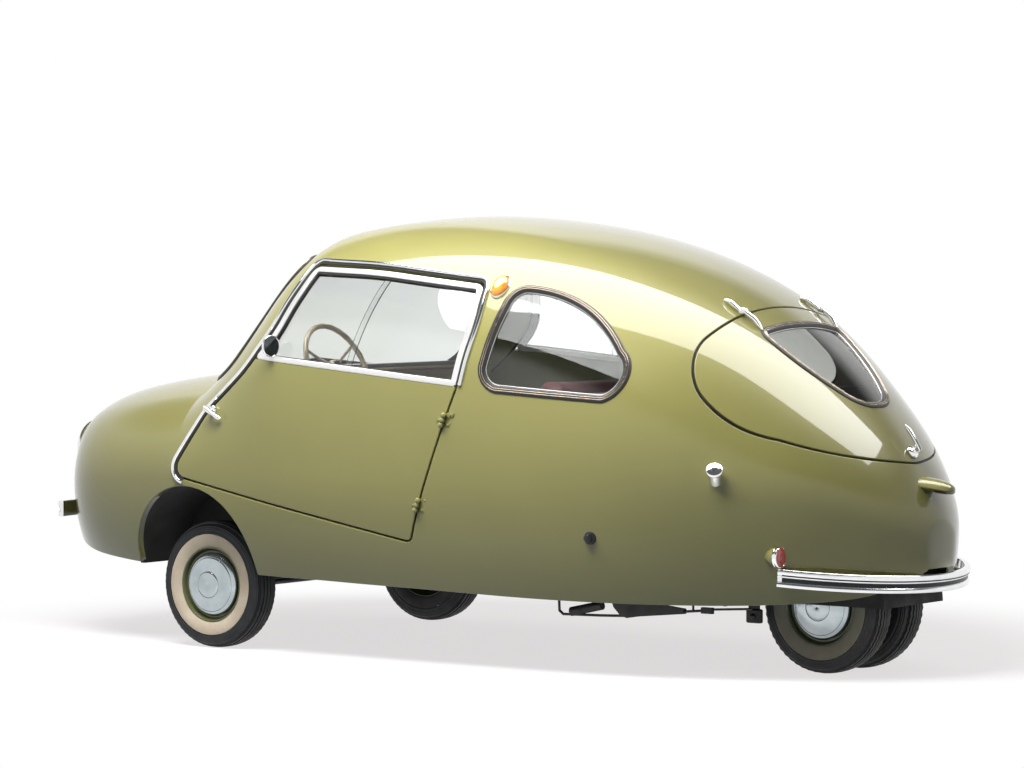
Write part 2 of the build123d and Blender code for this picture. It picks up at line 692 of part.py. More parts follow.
# ------------------------------------------------------------ wheel housings
rear_housing_radius = 235.0
rear_housing_side = 165.0
rear_housing_low = 208.0
arm_slot, arm_slot_top = 26.0, 245.0     # half width and height of the swing arm's slot
housing_low = 252.0
with BuildPart() as front_housing:
    outer = arch_radius + liner_wall
    with BuildSketch(SIDE.offset(-(liner_inner_y - liner_wall))):
        with Locations((arch_x, arch_z)):
            Circle(outer)
    extrude(amount=-(reach - liner_inner_y))
    add(arch_cut.part, mode=Mode.SUBTRACT)
    add(block(arch_x - 400, arch_x + 400, 300, 1300, -200, housing_low), mode=Mode.SUBTRACT)
    add(clear_cavity, mode=Mode.INTERSECT)
with BuildPart() as rear_housing:
    for r, side, mode in ((rear_housing_radius + liner_wall, rear_housing_side + liner_wall, Mode.ADD),
                          (rear_housing_radius, rear_housing_side, Mode.SUBTRACT)):
        with BuildSketch(SIDE.offset(-side)):
            with Locations((rear_axle_x, axle_z)):
                Circle(r)
        extrude(amount=2 * side, mode=mode)
        if mode is Mode.ADD:
            add(block(rear_axle_x, tail_split_x + 1 - fit, -side, side, floor_z - floor_thick, floor_z))
    add(block(rear_axle_x - 400, rear_axle_x + 400, -400, 400, -200, rear_housing_low), mode=Mode.SUBTRACT)
    slot_front = rear_axle_x + 300
    add(block(rear_axle_x + 200, slot_front, -arm_slot, arm_slot, -200, arm_slot_top), mode=Mode.SUBTRACT)
with BuildPart() as wheel_housings:
    for s in both:
        add(sided(front_housing.part, s))
    add(rear_housing.part)
piece("wheel_housings", wheel_housings.part)

# ------------------------------------------------------------ floor and frame
seat_front, seat_rear = 150.0, -430.0    # the box that carries the bench
seat_base_top = 320.0
cabin_rear_x = tail_split_x + 1
with BuildPart() as floor_pan:
    add(block(cabin_rear_x, 1080, -reach, reach, floor_z - floor_thick, floor_z))
    add(block(seat_rear, seat_front, -540, 540, floor_z - 1, seat_base_top))
    for s in both:
        with BuildSketch(SIDE.offset(-s * (liner_inner_y - liner_wall - fit))):
            with Locations((arch_x, arch_z)):
                Circle(arch_radius + liner_wall + fit)
        extrude(amount=-s * reach, mode=Mode.SUBTRACT)
    add(clear_cavity, mode=Mode.INTERSECT)
piece("floor_pan", floor_pan.part)

rail_y, rail_width_y, rail_low = 180.0, 40.0, 222.0
rail_top = floor_z - floor_thick
rail_rear, rail_front = -915.0, 860.0
pad_half_length, pad_half_width, pad_drop = 40.0, 15.0, 8.0     # jacking pads
pivot_x = -895.0                         # swing arm's pivot, under the last cross member
with BuildPart() as chassis_frame:
    for s in both:
        side_in, side_out = s * rail_y - rail_width_y / 2, s * rail_y + rail_width_y / 2
        add(block(rail_rear, rail_front, side_in, side_out, rail_low, rail_top))
        add(block(-pad_half_length, pad_half_length, s * rail_y - pad_half_width, s * rail_y + pad_half_width,
                  rail_low - pad_drop, rail_low))
    for x in (pivot_x, -300, 300, front_axle_x):
        add(block(x - 20, x + 20, -rail_y, rail_y, rail_low, rail_top))
piece("chassis_frame", chassis_frame.part)

beam_radius = 22.0
boss_radius = 27.0
boss_half = 35.0
with BuildPart() as front_axle:
    z = rail_low - beam_radius - fit
    add(rod((front_axle_x, -kingpin_y, z), (front_axle_x, kingpin_y, z), beam_radius))
    for s in both:
        foot = (front_axle_x, s * kingpin_y, axle_z - boss_half)
        head = (front_axle_x, s * kingpin_y, axle_z + boss_half)
        add(rod(foot, head, boss_radius))
        add(rod(foot, head, kingpin_radius + shaft_fit), mode=Mode.SUBTRACT)
piece("front_axle", front_axle.part)

arm_tube, arm_half_height, hub_half = 16.0, 22.0, 26.0
with BuildPart() as rear_swing_arm:
    z = rail_low - arm_tube - fit
    add(rod((pivot_x, -rail_y - 20, z), (pivot_x, rail_y + 20, z), arm_tube))
    with BuildSketch(SIDE.offset(-20)):
        with BuildLine():
            Polyline((pivot_x, z + 14), (rear_axle_x, axle_z + arm_half_height),
                     (rear_axle_x, axle_z - arm_half_height), (pivot_x, z - 14), close=True)
        make_face()
    extrude(amount=40)
    add(rod((rear_axle_x, -hub_half, axle_z), (rear_axle_x, hub_half, axle_z), 30))
    stub = rear_pair / 2 + 30
    add(rod((rear_axle_x, -stub, axle_z), (rear_axle_x, stub, axle_z), stub_radius))
piece("rear_swing_arm", rear_swing_arm.part)

under_y = 400.0                          # silencer, shield and brake rod hang in this line
with BuildPart() as exhaust:
    add(rod((-478, under_y, 167), (-590, under_y, 192), 14))
    hanger = ((-430, rail_top - fit), (-434, 168), (-448, 158), (-582, 161), (-680, 165))
    for (xa, za), (xb, zb) in zip(hanger, hanger[1:]):
        add(rod((xa, under_y, za), (xb, under_y, zb), 4))
        with Locations((xb, under_y, zb)):
            Sphere(4)
    with BuildSketch(SIDE.offset(-(under_y - 8))):
        with BuildLine():
            Polyline((-610, rail_top - fit), (-636, 189), (-660, 166), (-683, 159), (-726, 166), (-815, 175),
                     (-886, 182), (-886, 197), (-800, 206), (-760, rail_top - fit), close=True)
        make_face()
    extrude(amount=-16)
piece("exhaust", exhaust.part)

with BuildPart() as brake_linkage:
    add(rod((-886 - fit, under_y, 189), (-950, under_y, 195), 4))
    add(block(-984, -946, under_y - 7, under_y + 7, 187, 205))
    add(rod((-980, under_y, 200), (-1120, under_y, 209), 3.5))
    add(rod((-915, under_y, 191), (-915, under_y, rail_top - fit), 3.5))
piece("brake_linkage", brake_linkage.part)

with BuildPart() as engine_block:
    add(block(-930, -660, -160, 160, floor_z, 560))
    fillet(engine_block.edges().filter_by(Axis.Z), radius=20)
piece("engine_block", engine_block.part)

# ------------------------------------------------------------------- interior
dash_face_x, dash_top, dash_low = 575.0, 878.0, 742.0
column_y = 300.0
column_out = Vector(-cos(radians(25)), 0, sin(radians(25)))     # towards the driver
hub_at = Vector(495, column_y, 882)
column_radius = 17.0
shaft_radius = 7.0
knee = hub_at - column_out * 165
with BuildPart() as dashboard:
    with BuildSketch(SIDE.offset(-634)):
        with BuildLine():
            Polyline((848, 846), (690, dash_top), (590, dash_top), (dash_face_x, dash_top - 14),
                     (dash_face_x + 8, dash_low), (dash_face_x + 26, dash_low),
                     (dash_face_x + 20, dash_top - 18), (690, dash_top - 16), (848, 828), close=True)
        make_face()
    extrude(amount=2 * 634)
    add(clear_cavity, mode=Mode.INTERSECT)
    add(rod(tuple(hub_at), tuple(knee), column_radius + fit), mode=Mode.SUBTRACT)
piece("dashboard", dashboard.part)

with BuildPart() as steering_column:
    add(rod(tuple(hub_at - column_out * 40), tuple(knee), column_radius))
    add(rod((knee.X, knee.Y, knee.Z + 6), (745, column_y, floor_z), 11))
    with BuildSketch(Plane(origin=hub_at - column_out * 45, z_dir=column_out)):
        Circle(shaft_radius)
    extrude(amount=40)
    add(block(600, 900, column_y - 60, column_y + 60, 0, floor_z), mode=Mode.SUBTRACT)
piece("steering_column", steering_column.part)

wheel_ring_radius, wheel_grip = 140.0, 9.0
with BuildPart() as steering_wheel:
    plane = Plane(origin=hub_at, x_dir=(0, 1, 0), z_dir=column_out)
    with BuildSketch(Plane(origin=hub_at, x_dir=(0, 1, 0), z_dir=column_out.cross(Vector(0, 1, 0)))):
        with Locations((wheel_ring_radius, 0)):
            Circle(wheel_grip)
    revolve(axis=Axis(tuple(hub_at), tuple(column_out)))
    with BuildSketch(plane.offset(-24)):
        Circle(26)
    extrude(amount=34)
    for a in (90, 210, 330):
        across = Vector(0, 1, 0) * cos(radians(a)) - Vector(0, 1, 0).cross(column_out) * sin(radians(a))
        reach_to = hub_at + across * wheel_ring_radius
        add(rod(tuple(hub_at - column_out * 8), tuple(reach_to), 6))
    add(rod(tuple(hub_at - column_out * 60), tuple(hub_at - column_out * 4), shaft_radius + shaft_fit),
        mode=Mode.SUBTRACT)
piece("steering_wheel", steering_wheel.part)

cushion_rear = -306.0
with BuildPart() as seat_cushion:
    add(block(cushion_rear, seat_front + 20, -545, 545, seat_base_top + fit, 445))
    fillet(seat_cushion.edges(), radius=28)
piece("seat_cushion", seat_cushion.part)
with BuildPart() as seat_back:
    with BuildSketch(SIDE.offset(-545)):
        with BuildLine():
            Polyline((cushion_rear - 6, seat_base_top + fit), (seat_rear + 6, seat_base_top + fit),
                     (-548, 866), (-436, 884), close=True)
        make_face()
    extrude(amount=1090)
    fillet(seat_back.edges().filter_by(Axis.Y), radius=24)
piece("seat_back", seat_back.part)

shelf_front, shelf_rear, shelf_top = -575.0, -935.0, 826.0
with BuildPart() as rear_shelf:
    add(block(shelf_rear, shelf_front, -reach, reach, shelf_top - 12, shelf_top))
    add(block(shelf_front - 12, shelf_front, -620, 620, floor_z, shelf_top))
    add(clear_cavity, mode=Mode.INTERSECT)
piece("rear_shelf", rear_shelf.part)

# ------------------------------------------------------- steering and wheels
yoke_thick = 10.0
ball_radius = 5.0                        # pin through the tie rod's eye
arm_z, arm_thick = 187.0, 12.0
eye_x = front_axle_x - steer_arm
with BuildPart() as knuckle_left:
    y = kingpin_y
    low, high = axle_z - boss_half - fit, axle_z + boss_half + fit
    pin_low, pin_high = low - yoke_thick - 4, high + yoke_thick + 4
    add(rod((front_axle_x, y, pin_low), (front_axle_x, y, pin_high), kingpin_radius))
    for z in (low - yoke_thick, high):
        add(rod((front_axle_x, y, z), (front_axle_x, y, z + yoke_thick), 18))
        add(block(front_axle_x - 18, front_axle_x + 18, y, y + 40, z, z + yoke_thick))
    add(block(front_axle_x - 24, front_axle_x + 24, y + 28.5, y + 40, low - yoke_thick, high + yoke_thick))
    add(block(front_axle_x - 44, front_axle_x - 20, y + 28.5, y + 40,
              arm_z - arm_thick / 2, arm_z + arm_thick / 2))
    with BuildSketch(Plane.XY.offset(arm_z - arm_thick / 2)):
        with BuildLine():
            Polyline((front_axle_x - 40, y + 40), (front_axle_x - 40, y + 28.5), (eye_x, y - 12),
                     (eye_x - 8, y), (eye_x, y + 12), close=True)
        make_face()
    extrude(amount=arm_thick)
    add(rod((eye_x, y, arm_z), (eye_x, y, arm_z + 30), ball_radius))
    add(rod((front_axle_x, y + 38, axle_z), (front_axle_x, front_track / 2 + 34, axle_z), stub_radius))
piece("knuckle_left", knuckle_left.part)
with BuildPart() as knuckle_right:
    add(mirror(knuckle_left.part, about=Plane.XZ))
piece("knuckle_right", knuckle_right.part)

rod_z = arm_z + arm_thick / 2 + fit + tie_rod_eye
with BuildPart() as tie_rod:
    add(rod((eye_x, -kingpin_y, rod_z), (eye_x, kingpin_y, rod_z), tie_rod_radius))
    for s in both:
        y = s * kingpin_y
        add(rod((eye_x, y, rod_z - tie_rod_eye), (eye_x, y, rod_z + tie_rod_eye), 12))
        add(rod((eye_x, y, rod_z - 20), (eye_x, y, rod_z + 20), ball_radius + fit), mode=Mode.SUBTRACT)
piece("tie_rod", tie_rod.part)


def tyre(middle_y):
    bead, side = rim_radius + fit, tyre_width / 2
    with BuildPart() as ring:
        with BuildSketch(Plane(origin=(0, middle_y, axle_z), x_dir=(0, 1, 0), z_dir=(1, 0, 0))) as cut:
            with BuildLine():
                Line((-38, bead), (38, bead))
                ThreePointArc((38, bead), (side, 158), (42, 188))
                ThreePointArc((42, 188), (36, 195), (26, tyre_radius - 1))
                ThreePointArc((26, tyre_radius - 1), (0, tyre_radius), (-26, tyre_radius - 1))
                ThreePointArc((-26, tyre_radius - 1), (-36, 195), (-42, 188))
                ThreePointArc((-42, 188), (-side, 158), (-38, bead))
            make_face()
        revolve(axis=Axis((0, middle_y, axle_z), (0, 1, 0)))
    return ring.part


def rim(middle_y, out):
    """A pressed wheel with its hubcap on the `out` side (+1 or -1 along Y)."""
    half = rim_width / 2
    with BuildPart() as disc:
        with BuildSketch(Plane(origin=(0, middle_y, axle_z), x_dir=(0, out, 0), z_dir=(out, 0, 0))):
            with BuildLine():
                lip = rim_radius - 8
                Polyline((-half, lip), (-half, rim_radius), (half, rim_radius), (half, lip),
                         (half - 6, rim_radius - 10), (half - 10, hubcap_radius))
                top = half + hubcap_height
                edge, step = (half - 10, hubcap_radius), (half + 12, 44)
                boss, crown = (top - 10, 40), (top - 3, 0)
                ThreePointArc(edge, dome(edge, step), step)
                Line(step, boss)
                ThreePointArc(boss, dome(boss, crown), crown)
                bore = stub_radius + shaft_fit
                Polyline(crown, (half + 2, 0), (half + 2, bore), (-10, bore), (-10, 34),
                         (half - 22, 40), (half - 22, rim_radius - 14), (-half, lip))
            make_face()
        revolve(axis=Axis((0, middle_y, axle_z), (0, 1, 0)))
    return disc.part


def moved(part, x):
    return part.moved(Location((x, 0, 0)))


with BuildPart() as front_tyre_left:
    add(moved(tyre(front_track / 2), front_axle_x))
with BuildPart() as front_tyre_right:
    add(moved(tyre(-front_track / 2), front_axle_x))
with BuildPart() as front_wheel_left:
    add(moved(rim(front_track / 2, 1), front_axle_x))
with BuildPart() as front_wheel_right:
    add(moved(rim(-front_track / 2, -1), front_axle_x))
with BuildPart() as rear_tyres:
    for s in both:
        add(moved(tyre(s * rear_pair / 2), rear_axle_x))
with BuildPart() as rear_wheels:
    for s in both:
        add(moved(rim(s * rear_pair / 2, s), rear_axle_x))
for name, made in (("front_tyre_left", front_tyre_left), ("front_tyre_right", front_tyre_right),
                   ("front_wheel_left", front_wheel_left), ("front_wheel_right", front_wheel_right),
                   ("rear_tyres", rear_tyres), ("rear_wheels", rear_wheels)):
    piece(name, made.part)
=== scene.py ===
"""The looks of a small egg-shaped three wheeled car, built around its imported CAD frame.

The painted panels, seals and trim follow one analytic skin: the same table of body
sections as the frame, so every piece sits where the CAD says.  +X front, +Y left; shapes are
given in millimetres and made in metres."""
from math import asin, atan2, cos, hypot, pi, radians, sin, sqrt

import bmesh
import bpy
import numpy as np
from mathutils import Matrix, Vector
from mathutils.geometry import delaunay_2d_cdt


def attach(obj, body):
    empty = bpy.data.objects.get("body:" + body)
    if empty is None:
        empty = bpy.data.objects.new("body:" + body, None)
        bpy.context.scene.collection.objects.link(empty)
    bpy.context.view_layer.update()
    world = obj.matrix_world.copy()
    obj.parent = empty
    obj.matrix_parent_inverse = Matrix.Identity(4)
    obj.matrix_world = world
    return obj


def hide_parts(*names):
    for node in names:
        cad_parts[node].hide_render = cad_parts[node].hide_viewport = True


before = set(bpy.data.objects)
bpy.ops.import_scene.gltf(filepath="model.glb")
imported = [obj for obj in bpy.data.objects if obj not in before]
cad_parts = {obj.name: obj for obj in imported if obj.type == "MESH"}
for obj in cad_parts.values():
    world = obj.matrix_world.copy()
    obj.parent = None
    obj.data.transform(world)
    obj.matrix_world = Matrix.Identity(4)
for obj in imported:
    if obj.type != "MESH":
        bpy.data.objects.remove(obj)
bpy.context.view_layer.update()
MM = 0.001

# ---------------------------------------------------------------- body sections
# Millimetres: x station, top, half width, height of the widest place,
# half width and height of the lower edge, squareness of the shoulder
SECTIONS = np.array([
    (-1520, 470, 88, 402, 74, 322, 2.00), (-1480, 553, 178, 430, 150, 282, 1.95),
    (-1410, 666, 280, 466, 240, 250, 1.93), (-1300, 797, 401, 505, 348, 234, 1.95),
    (-1150, 942, 515, 535, 453, 226, 2.05), (-950, 1092, 622, 560, 557, 224, 2.30),
    (-700, 1216, 692, 575, 627, 225, 2.50), (-400, 1304, 720, 580, 655, 229, 2.80),
    (-120, 1346, 726, 580, 663, 236, 3.00), (130, 1355, 726, 577, 663, 240, 3.10),
    (330, 1331, 724, 573, 661, 244, 3.20), (450, 1290, 720, 568, 658, 245, 3.20),
    (550, 1196, 713, 560, 652, 247, 3.00), (650, 1078, 705, 552, 645, 249, 2.80),
    (750, 968, 697, 545, 637, 250, 2.65), (850, 868, 688, 538, 629, 253, 2.70),
    (1000, 856, 660, 530, 604, 256, 2.65), (1200, 828, 615, 518, 562, 268, 2.65),
    (1370, 790, 545, 502, 496, 290, 2.70), (1460, 742, 462, 490, 424, 320, 2.80),
    (1500, 655, 360, 478, 330, 352, 2.80), (1516, 545, 205, 465, 178, 400, 2.60)], float)
COWL_X = 850.0            # the hood's loft and the cabin's loft meet here
ACROSS = 1500.0           # the skin's second coordinate runs 0..ACROSS, edge to roof line
OTHER_SIDE = [1, -1, 1]   # carries a left-hand point or normal across the car
SIDES = ((1, "left"), (-1, "right"))


def unit(v):
    v = np.array(v, float)
    return v / np.linalg.norm(v)


def unit_rows(v, least=0.0):
    """Vectors along the last axis, each made one long."""
    return v / np.maximum(np.linalg.norm(v, axis=-1, keepdims=True), least)


def flow(line, closed, axis=0):
    """Which way a line runs at each of its points, not of unit length."""
    if closed:
        return np.roll(line, -1, axis) - np.roll(line, 1, axis)
    return np.gradient(line, axis=axis)


def signed_area(line):
    """Twice the area inside a closed line, positive when it runs anticlockwise."""
    return (line[:, 0] * np.roll(line[:, 1], -1) - np.roll(line[:, 0], -1) * line[:, 1]).sum()


def round_angles(count):
    """The angles of evenly spaced places round a circle."""
    return np.linspace(0, 2 * pi, count + 1)[:-1]


def run_length(points):
    """How far along a line each of its points lies."""
    return np.concatenate([[0], np.cumsum(np.linalg.norm(np.diff(points, axis=0), axis=1))])


def cubic_slopes(t, y):
    """Second derivatives of the C2 cubic through the rows, not-a-knot at both ends."""
    n, h = len(t), np.diff(t)
    a, b = np.zeros((n, n)), np.zeros(y.shape)
    a[0, :3] = h[1], -(h[0] + h[1]), h[0]
    a[-1, -3:] = h[-1], -(h[-2] + h[-1]), h[-2]
    for i in range(1, n - 1):
        a[i, i - 1:i + 2] = h[i - 1], 2 * (h[i - 1] + h[i]), h[i]
        b[i] = 6 * ((y[i + 1] - y[i]) / h[i] - (y[i] - y[i - 1]) / h[i - 1])
    return np.linalg.solve(a, b)


def cubic(t, y, m, at):
    """The cubic through rows y at t, with second derivatives m, read at new places."""
    i = np.clip(np.searchsorted(t, at) - 1, 0, len(t) - 2)
    h = (t[i + 1] - t[i])[:, None]
    a, b = (t[i + 1] - at)[:, None] / h, (at - t[i])[:, None] / h
    return a * y[i] + b * y[i + 1] + ((a ** 3 - a) * m[i] + (b ** 3 - b) * m[i + 1]) * h * h / 6


def biarc_joint(p0, t0, p1, t1):
    """Where two arcs meet that leave p0 along t0 and reach p1 along t1."""
    v, t = p1 - p0, t0 + t1
    vt, vv = (v * t).sum(-1), (v * v).sum(-1)
    k = 2 * (1 - (t0 * t1).sum(-1))
    d = ((-vt + np.sqrt(vt * vt + k * vv)) / k)[..., None]
    return (p0 + d * t0 + p1 - d * t1) / 2


def end_direction(p0, t0, p1):
    """The way an arc points at p1 when it leaves p0 along t0."""
    v = p1 - p0
    return 2 * (v * t0).sum(-1, keepdims=True) * v / (v * v).sum(-1, keepdims=True) - t0


def arc_points(p0, t0, p1, share):
    """Points on the arc that leaves p0 along t0 and ends at p1; rows x shares."""
    v, n = p1 - p0, np.stack([-t0[..., 1], t0[..., 0]], -1)
    turn = 2 * np.arctan2((v * n).sum(-1), (v * t0).sum(-1))
    turn = np.where(np.abs(turn) < 1e-6, 1e-6, turn)
    r = np.sqrt((v * v).sum(-1)) / (2 * np.sin(turn / 2))
    angle = turn[:, None] * share[None, :]
    along, out = r[:, None] * np.sin(angle), r[:, None] * (1 - np.cos(angle))
    return p0[:, None] + along[..., None] * t0[:, None] + out[..., None] * n[:, None]


def half_sections(rows, steps=60):
    """The left half of each section from its lower edge to the roof line: rows x points x (y, z)."""
    top, half, mid, foot, low, full = (rows[:, i] for i in range(1, 7))
    rise, share, n = top - mid, 2 ** (-1 / full), np.hypot(half, top - mid)
    widest, crest = np.stack([half, mid], -1), np.stack([0 * half, top], -1)
    edge, shoulder = np.stack([foot, low], -1), np.stack([half * share, mid + rise * share], -1)
    lean, up = np.stack([-half / n, rise / n], -1), np.tile([0.0, 1.0], (len(rows), 1))
    inward = np.tile([-1.0, 0.0], (len(rows), 1))
    j1, j2 = biarc_joint(widest, up, shoulder, lean), biarc_joint(shoulder, lean, crest, inward)
    t = np.linspace(0, 1, steps + 1)
    runs = [arc_points(widest, -up, edge, t)[:, ::-1], arc_points(widest, up, j1, t),
            arc_points(j1, end_direction(widest, up, j1), shoulder, t), arc_points(shoulder, lean, j2, t),
            arc_points(j2, end_direction(shoulder, lean, j2), crest, t)]
    return np.concatenate([runs[0]] + [r[:, 1:] for r in runs[1:]], 1)


def skin_table():
    """A fine grid of skin points: stations along the car x places round the half section."""
    lofts = []
    for rows in (SECTIONS[SECTIONS[:, 0] <= COWL_X], SECTIONS[SECTIONS[:, 0] >= COWL_X]):
        outline = half_sections(rows, 6)
        solid = np.concatenate([np.repeat(rows[:, :1, None], outline.shape[1], 1), outline], 2)
        step = np.linalg.norm(np.diff(solid, axis=0), axis=2).mean(1)
        t = np.concatenate([[0], np.cumsum(step)])
        at = np.linspace(0, t[-1], int(t[-1] / 2.5) + 1)
        lofts.append(cubic(t, rows, cubic_slopes(t, rows), at))
    rows = np.concatenate([lofts[0], lofts[1][1:]])
    fine = half_sections(rows)
    run = np.array([run_length(f) for f in fine])
    share = np.linspace(0, 1, 376)
    yz = np.stack([[np.interp(share * r[-1], r, f[:, k]) for k in (0, 1)] for r, f in zip(run, fine)])
    table = np.concatenate([np.repeat(rows[:, :1, None], len(share), 1), yz.transpose(0, 2, 1)], 2)
    p = np.concatenate([[0], np.cumsum(np.linalg.norm(np.diff(table[:, ::25], axis=0), axis=2).mean(1))])
    return p, share * ACROSS, table


P_GRID, Q_GRID, SKIN = skin_table()
P_END = P_GRID[-1]


def skin_normals():
    """Unit outward normals of the table; the crease at the cowl keeps a soft edge."""
    mirrored = np.concatenate([SKIN, SKIN[:, -2:-3:-1] * OTHER_SIDE], 1)
    dp = np.gradient(mirrored, P_GRID, axis=0)[:, :-1]
    dq = np.gradient(mirrored, axis=1)[:, :-1]
    n = np.cross(dq, dp)
    n[:, -1, 1] = 0
    return unit_rows(n)


NORMALS = skin_normals()


def look_up(table, p, q):
    """Bilinear value of a skin table at skin coordinates p, q."""
    i = np.clip(np.searchsorted(P_GRID, p, side="right") - 1, 0, len(P_GRID) - 2)
    j = np.clip((q / ACROSS * (len(Q_GRID) - 1)).astype(int), 0, len(Q_GRID) - 2)
    a = ((p - P_GRID[i]) / (P_GRID[i + 1] - P_GRID[i]))[:, None]
    b = ((q - Q_GRID[j]) / (Q_GRID[j + 1] - Q_GRID[j]))[:, None]
    return ((1 - a) * (1 - b) * table[i, j] + a * (1 - b) * table[i + 1, j]
            + (1 - a) * b * table[i, j + 1] + a * b * table[i + 1, j + 1])


def skin_at(pq):
    """Points (millimetres) and unit normals of the left half at skin coordinates."""
    n = look_up(NORMALS, pq[:, 0], pq[:, 1])
    return look_up(SKIN, pq[:, 0], pq[:, 1]), unit_rows(n)


PROBE = 0.8               # skin coordinates either side at which a view's slope is taken
NEWTON_ROUNDS = 6
LONGEST_MOVE = 40         # of one round of Newton's method


def find_on_skin(view, targets, allowed):
    """Skin coordinates whose view (a map from points to two numbers) hits each target:
    the nearest of a coarse grid, then Newton's method."""
    coarse = SKIN[::4, ::3]
    flat = view(coarse.reshape(-1, 3)).reshape(coarse.shape[0], coarse.shape[1], 2)
    open_to = allowed(coarse)
    found = []
    for target in targets:
        miss = ((flat - target) ** 2).sum(2) + np.where(open_to, 0, 1e9)
        i, j = np.unravel_index(miss.argmin(), miss.shape)
        found.append((P_GRID[::4][i], Q_GRID[::3][j]))
    pq, h = np.array(found, float), PROBE
    for _ in range(NEWTON_ROUNDS):
        inner = np.clip(pq, [h, h], [P_END - h, ACROSS - h])
        here = view(skin_at(pq)[0])
        dp = (view(skin_at(inner + [h, 0])[0]) - view(skin_at(inner - [h, 0])[0])) / (2 * h)
        dq = (view(skin_at(inner + [0, h])[0]) - view(skin_at(inner - [0, h])[0])) / (2 * h)
        miss = targets - here
        det = dp[:, 0] * dq[:, 1] - dp[:, 1] * dq[:, 0]
        det = np.where(np.abs(det) < 1e-9, 1e-9, det)
        step = np.stack([(miss[:, 0] * dq[:, 1] - miss[:, 1] * dq[:, 0]) / det,
                         (dp[:, 0] * miss[:, 1] - dp[:, 1] * miss[:, 0]) / det], 1)
        pq = np.clip(pq + np.clip(step, -LONGEST_MOVE, LONGEST_MOVE), 0, [P_END, ACROSS])
    return pq


# --------------------------------------------------------------------- outlines
def side_view(points):
    return points[:, [0, 2]]


def front_view(points):
    return points[:, [1, 2]]


LID_ORIGIN = np.array([-1200.0, 850.0])
ROOT_HALF = sqrt(0.5)


def lid_view(points):
    """Square to the lid: across the car, and up its slope."""
    up_slope = ((points[:, 0] - LID_ORIGIN[0]) + (points[:, 2] - LID_ORIGIN[1])) * ROOT_HALF
    return np.stack([points[:, 1], up_slope], 1)


def resample(points, step, closed):
    """The same line with points an even `step` or so apart."""
    p = np.asarray(points, float)
    if closed:
        p = np.concatenate([p, p[:1]])
    run = run_length(p)
    count = max(8, int(round(run[-1] / step)))
    at = np.linspace(0, run[-1], count + 1)[:count + (0 if closed else 1)]
    return np.stack([np.interp(at, run, p[:, k]) for k in range(p.shape[1])], 1)


def rounded(corners, closed=True):
    """A line through corners (a, b, radius), each corner rounded to its radius."""
    pts, out, n = np.array([c[:2] for c in corners], float), [], len(corners)
    for i, (a, b, r) in enumerate(corners):
        if not closed and i in (0, n - 1):
            out.append(pts[i])
            continue
        u, v = pts[i - 1] - pts[i], pts[(i + 1) % n] - pts[i]
        u, v = u / np.linalg.norm(u), v / np.linalg.norm(v)
        half = np.arccos(np.clip(u @ v, -1, 1)) / 2
        centre = pts[i] + (u + v) / np.linalg.norm(u + v) * r / sin(half)
        s, e = pts[i] + u * r / np.tan(half) - centre, pts[i] + v * r / np.tan(half) - centre
        turn = atan2(s[0] * e[1] - s[1] * e[0], s @ e)
        for k in np.linspace(0, turn, max(6, int(abs(turn) * r / 4))):
            out.append(centre + np.array([s[0] * cos(k) - s[1] * sin(k), s[0] * sin(k) + s[1] * cos(k)]))
    return np.array(out)


def section(corners, step=1.5):
    """A closed cross-section through rounded corners (outward, up, radius)."""
    return resample(rounded(corners), step, True)


ARC_PIECES = 24


def through(a, b, c):
    """Points on the arc from a by way of b to c."""
    (ax, ay), (bx, by), (cx, cy) = a, b, c
    d = 2 * (ax * (by - cy) + bx * (cy - ay) + cx * (ay - by))
    aa, bb, cc = ax * ax + ay * ay, bx * bx + by * by, cx * cx + cy * cy
    ux = (aa * (by - cy) + bb * (cy - ay) + cc * (ay - by)) / d
    uy = (aa * (cx - bx) + bb * (ax - cx) + cc * (bx - ax)) / d
    r, start = hypot(ax - ux, ay - uy), atan2(ay - uy, ax - ux)
    mid, end = ((atan2(y - uy, x - ux) - start) % (2 * pi) for x, y in (b, c))
    turn = end if mid < end else end - 2 * pi
    angles = [start + turn * k / ARC_PIECES for k in range(ARC_PIECES + 1)]
    return [(ux + r * cos(t), uy + r * sin(t)) for t in angles]


def arcs(*points):
    """Arcs end to end, each through three of the points and starting where the last one ended."""
    line = []
    for k in range(0, len(points) - 2, 2):
        line += through(*points[k:k + 3])
    return line


def grow(line, amount, closed=True):
    """The line moved `amount` out from the shape it goes round (or, open, from the centreline)."""
    t = flow(line, closed)
    if closed:
        side = 1 if signed_area(line) > 0 else -1
    else:
        t[0, 1] = t[-1, 1] = 0
        side = -1 if line[0, 1] > line[-1, 1] else 1
    n = np.stack([t[:, 1], -t[:, 0]], 1) / np.linalg.norm(t, axis=1)[:, None]
    return line + side * amount * n


STEP = 9.0                # spacing of points along outlines on the skin
FINE = 4.0                # spacing of points along the outlines themselves
SHUT_GAP = 6.0            # round the doors and the tail lid
DOOR = section([(850, 549, 34), (724, 745, 150), (552, 876, 600), (436, 1003, 250), (388, 1130, 400),
                (366, 1204, 24), (100, 1194, 2500), (-292, 1152, 30), (-310, 1035, 300),
                (-275, 850, 300), (-100, 380, 16)], FINE)
SILL = ((900.0, 951.0), (-500.0, 827.0))       # the door panel ends and its window frame starts here
QUARTER = resample(arcs((-387, 1090), (-402, 1127), (-440, 1139), (-640, 1078), (-780, 957),
                        (-812, 880), (-757, 818)) + [(-430, 840)]
                   + arcs((-430, 840), (-378, 860), (-358, 905)), FINE, True)
SCREEN = resample(rounded([(0, 1250, 1), (520, 1222, 95), (610, 838, 60), (0, 893, 1)], False), FINE, False)
LID_EDGE = resample(arcs((0, 325), (217, 310), (391, 274), (484, 204), (508, 120), (491, 26),
                         (403, -112), (230, -255), (0, -322)), FINE, False)
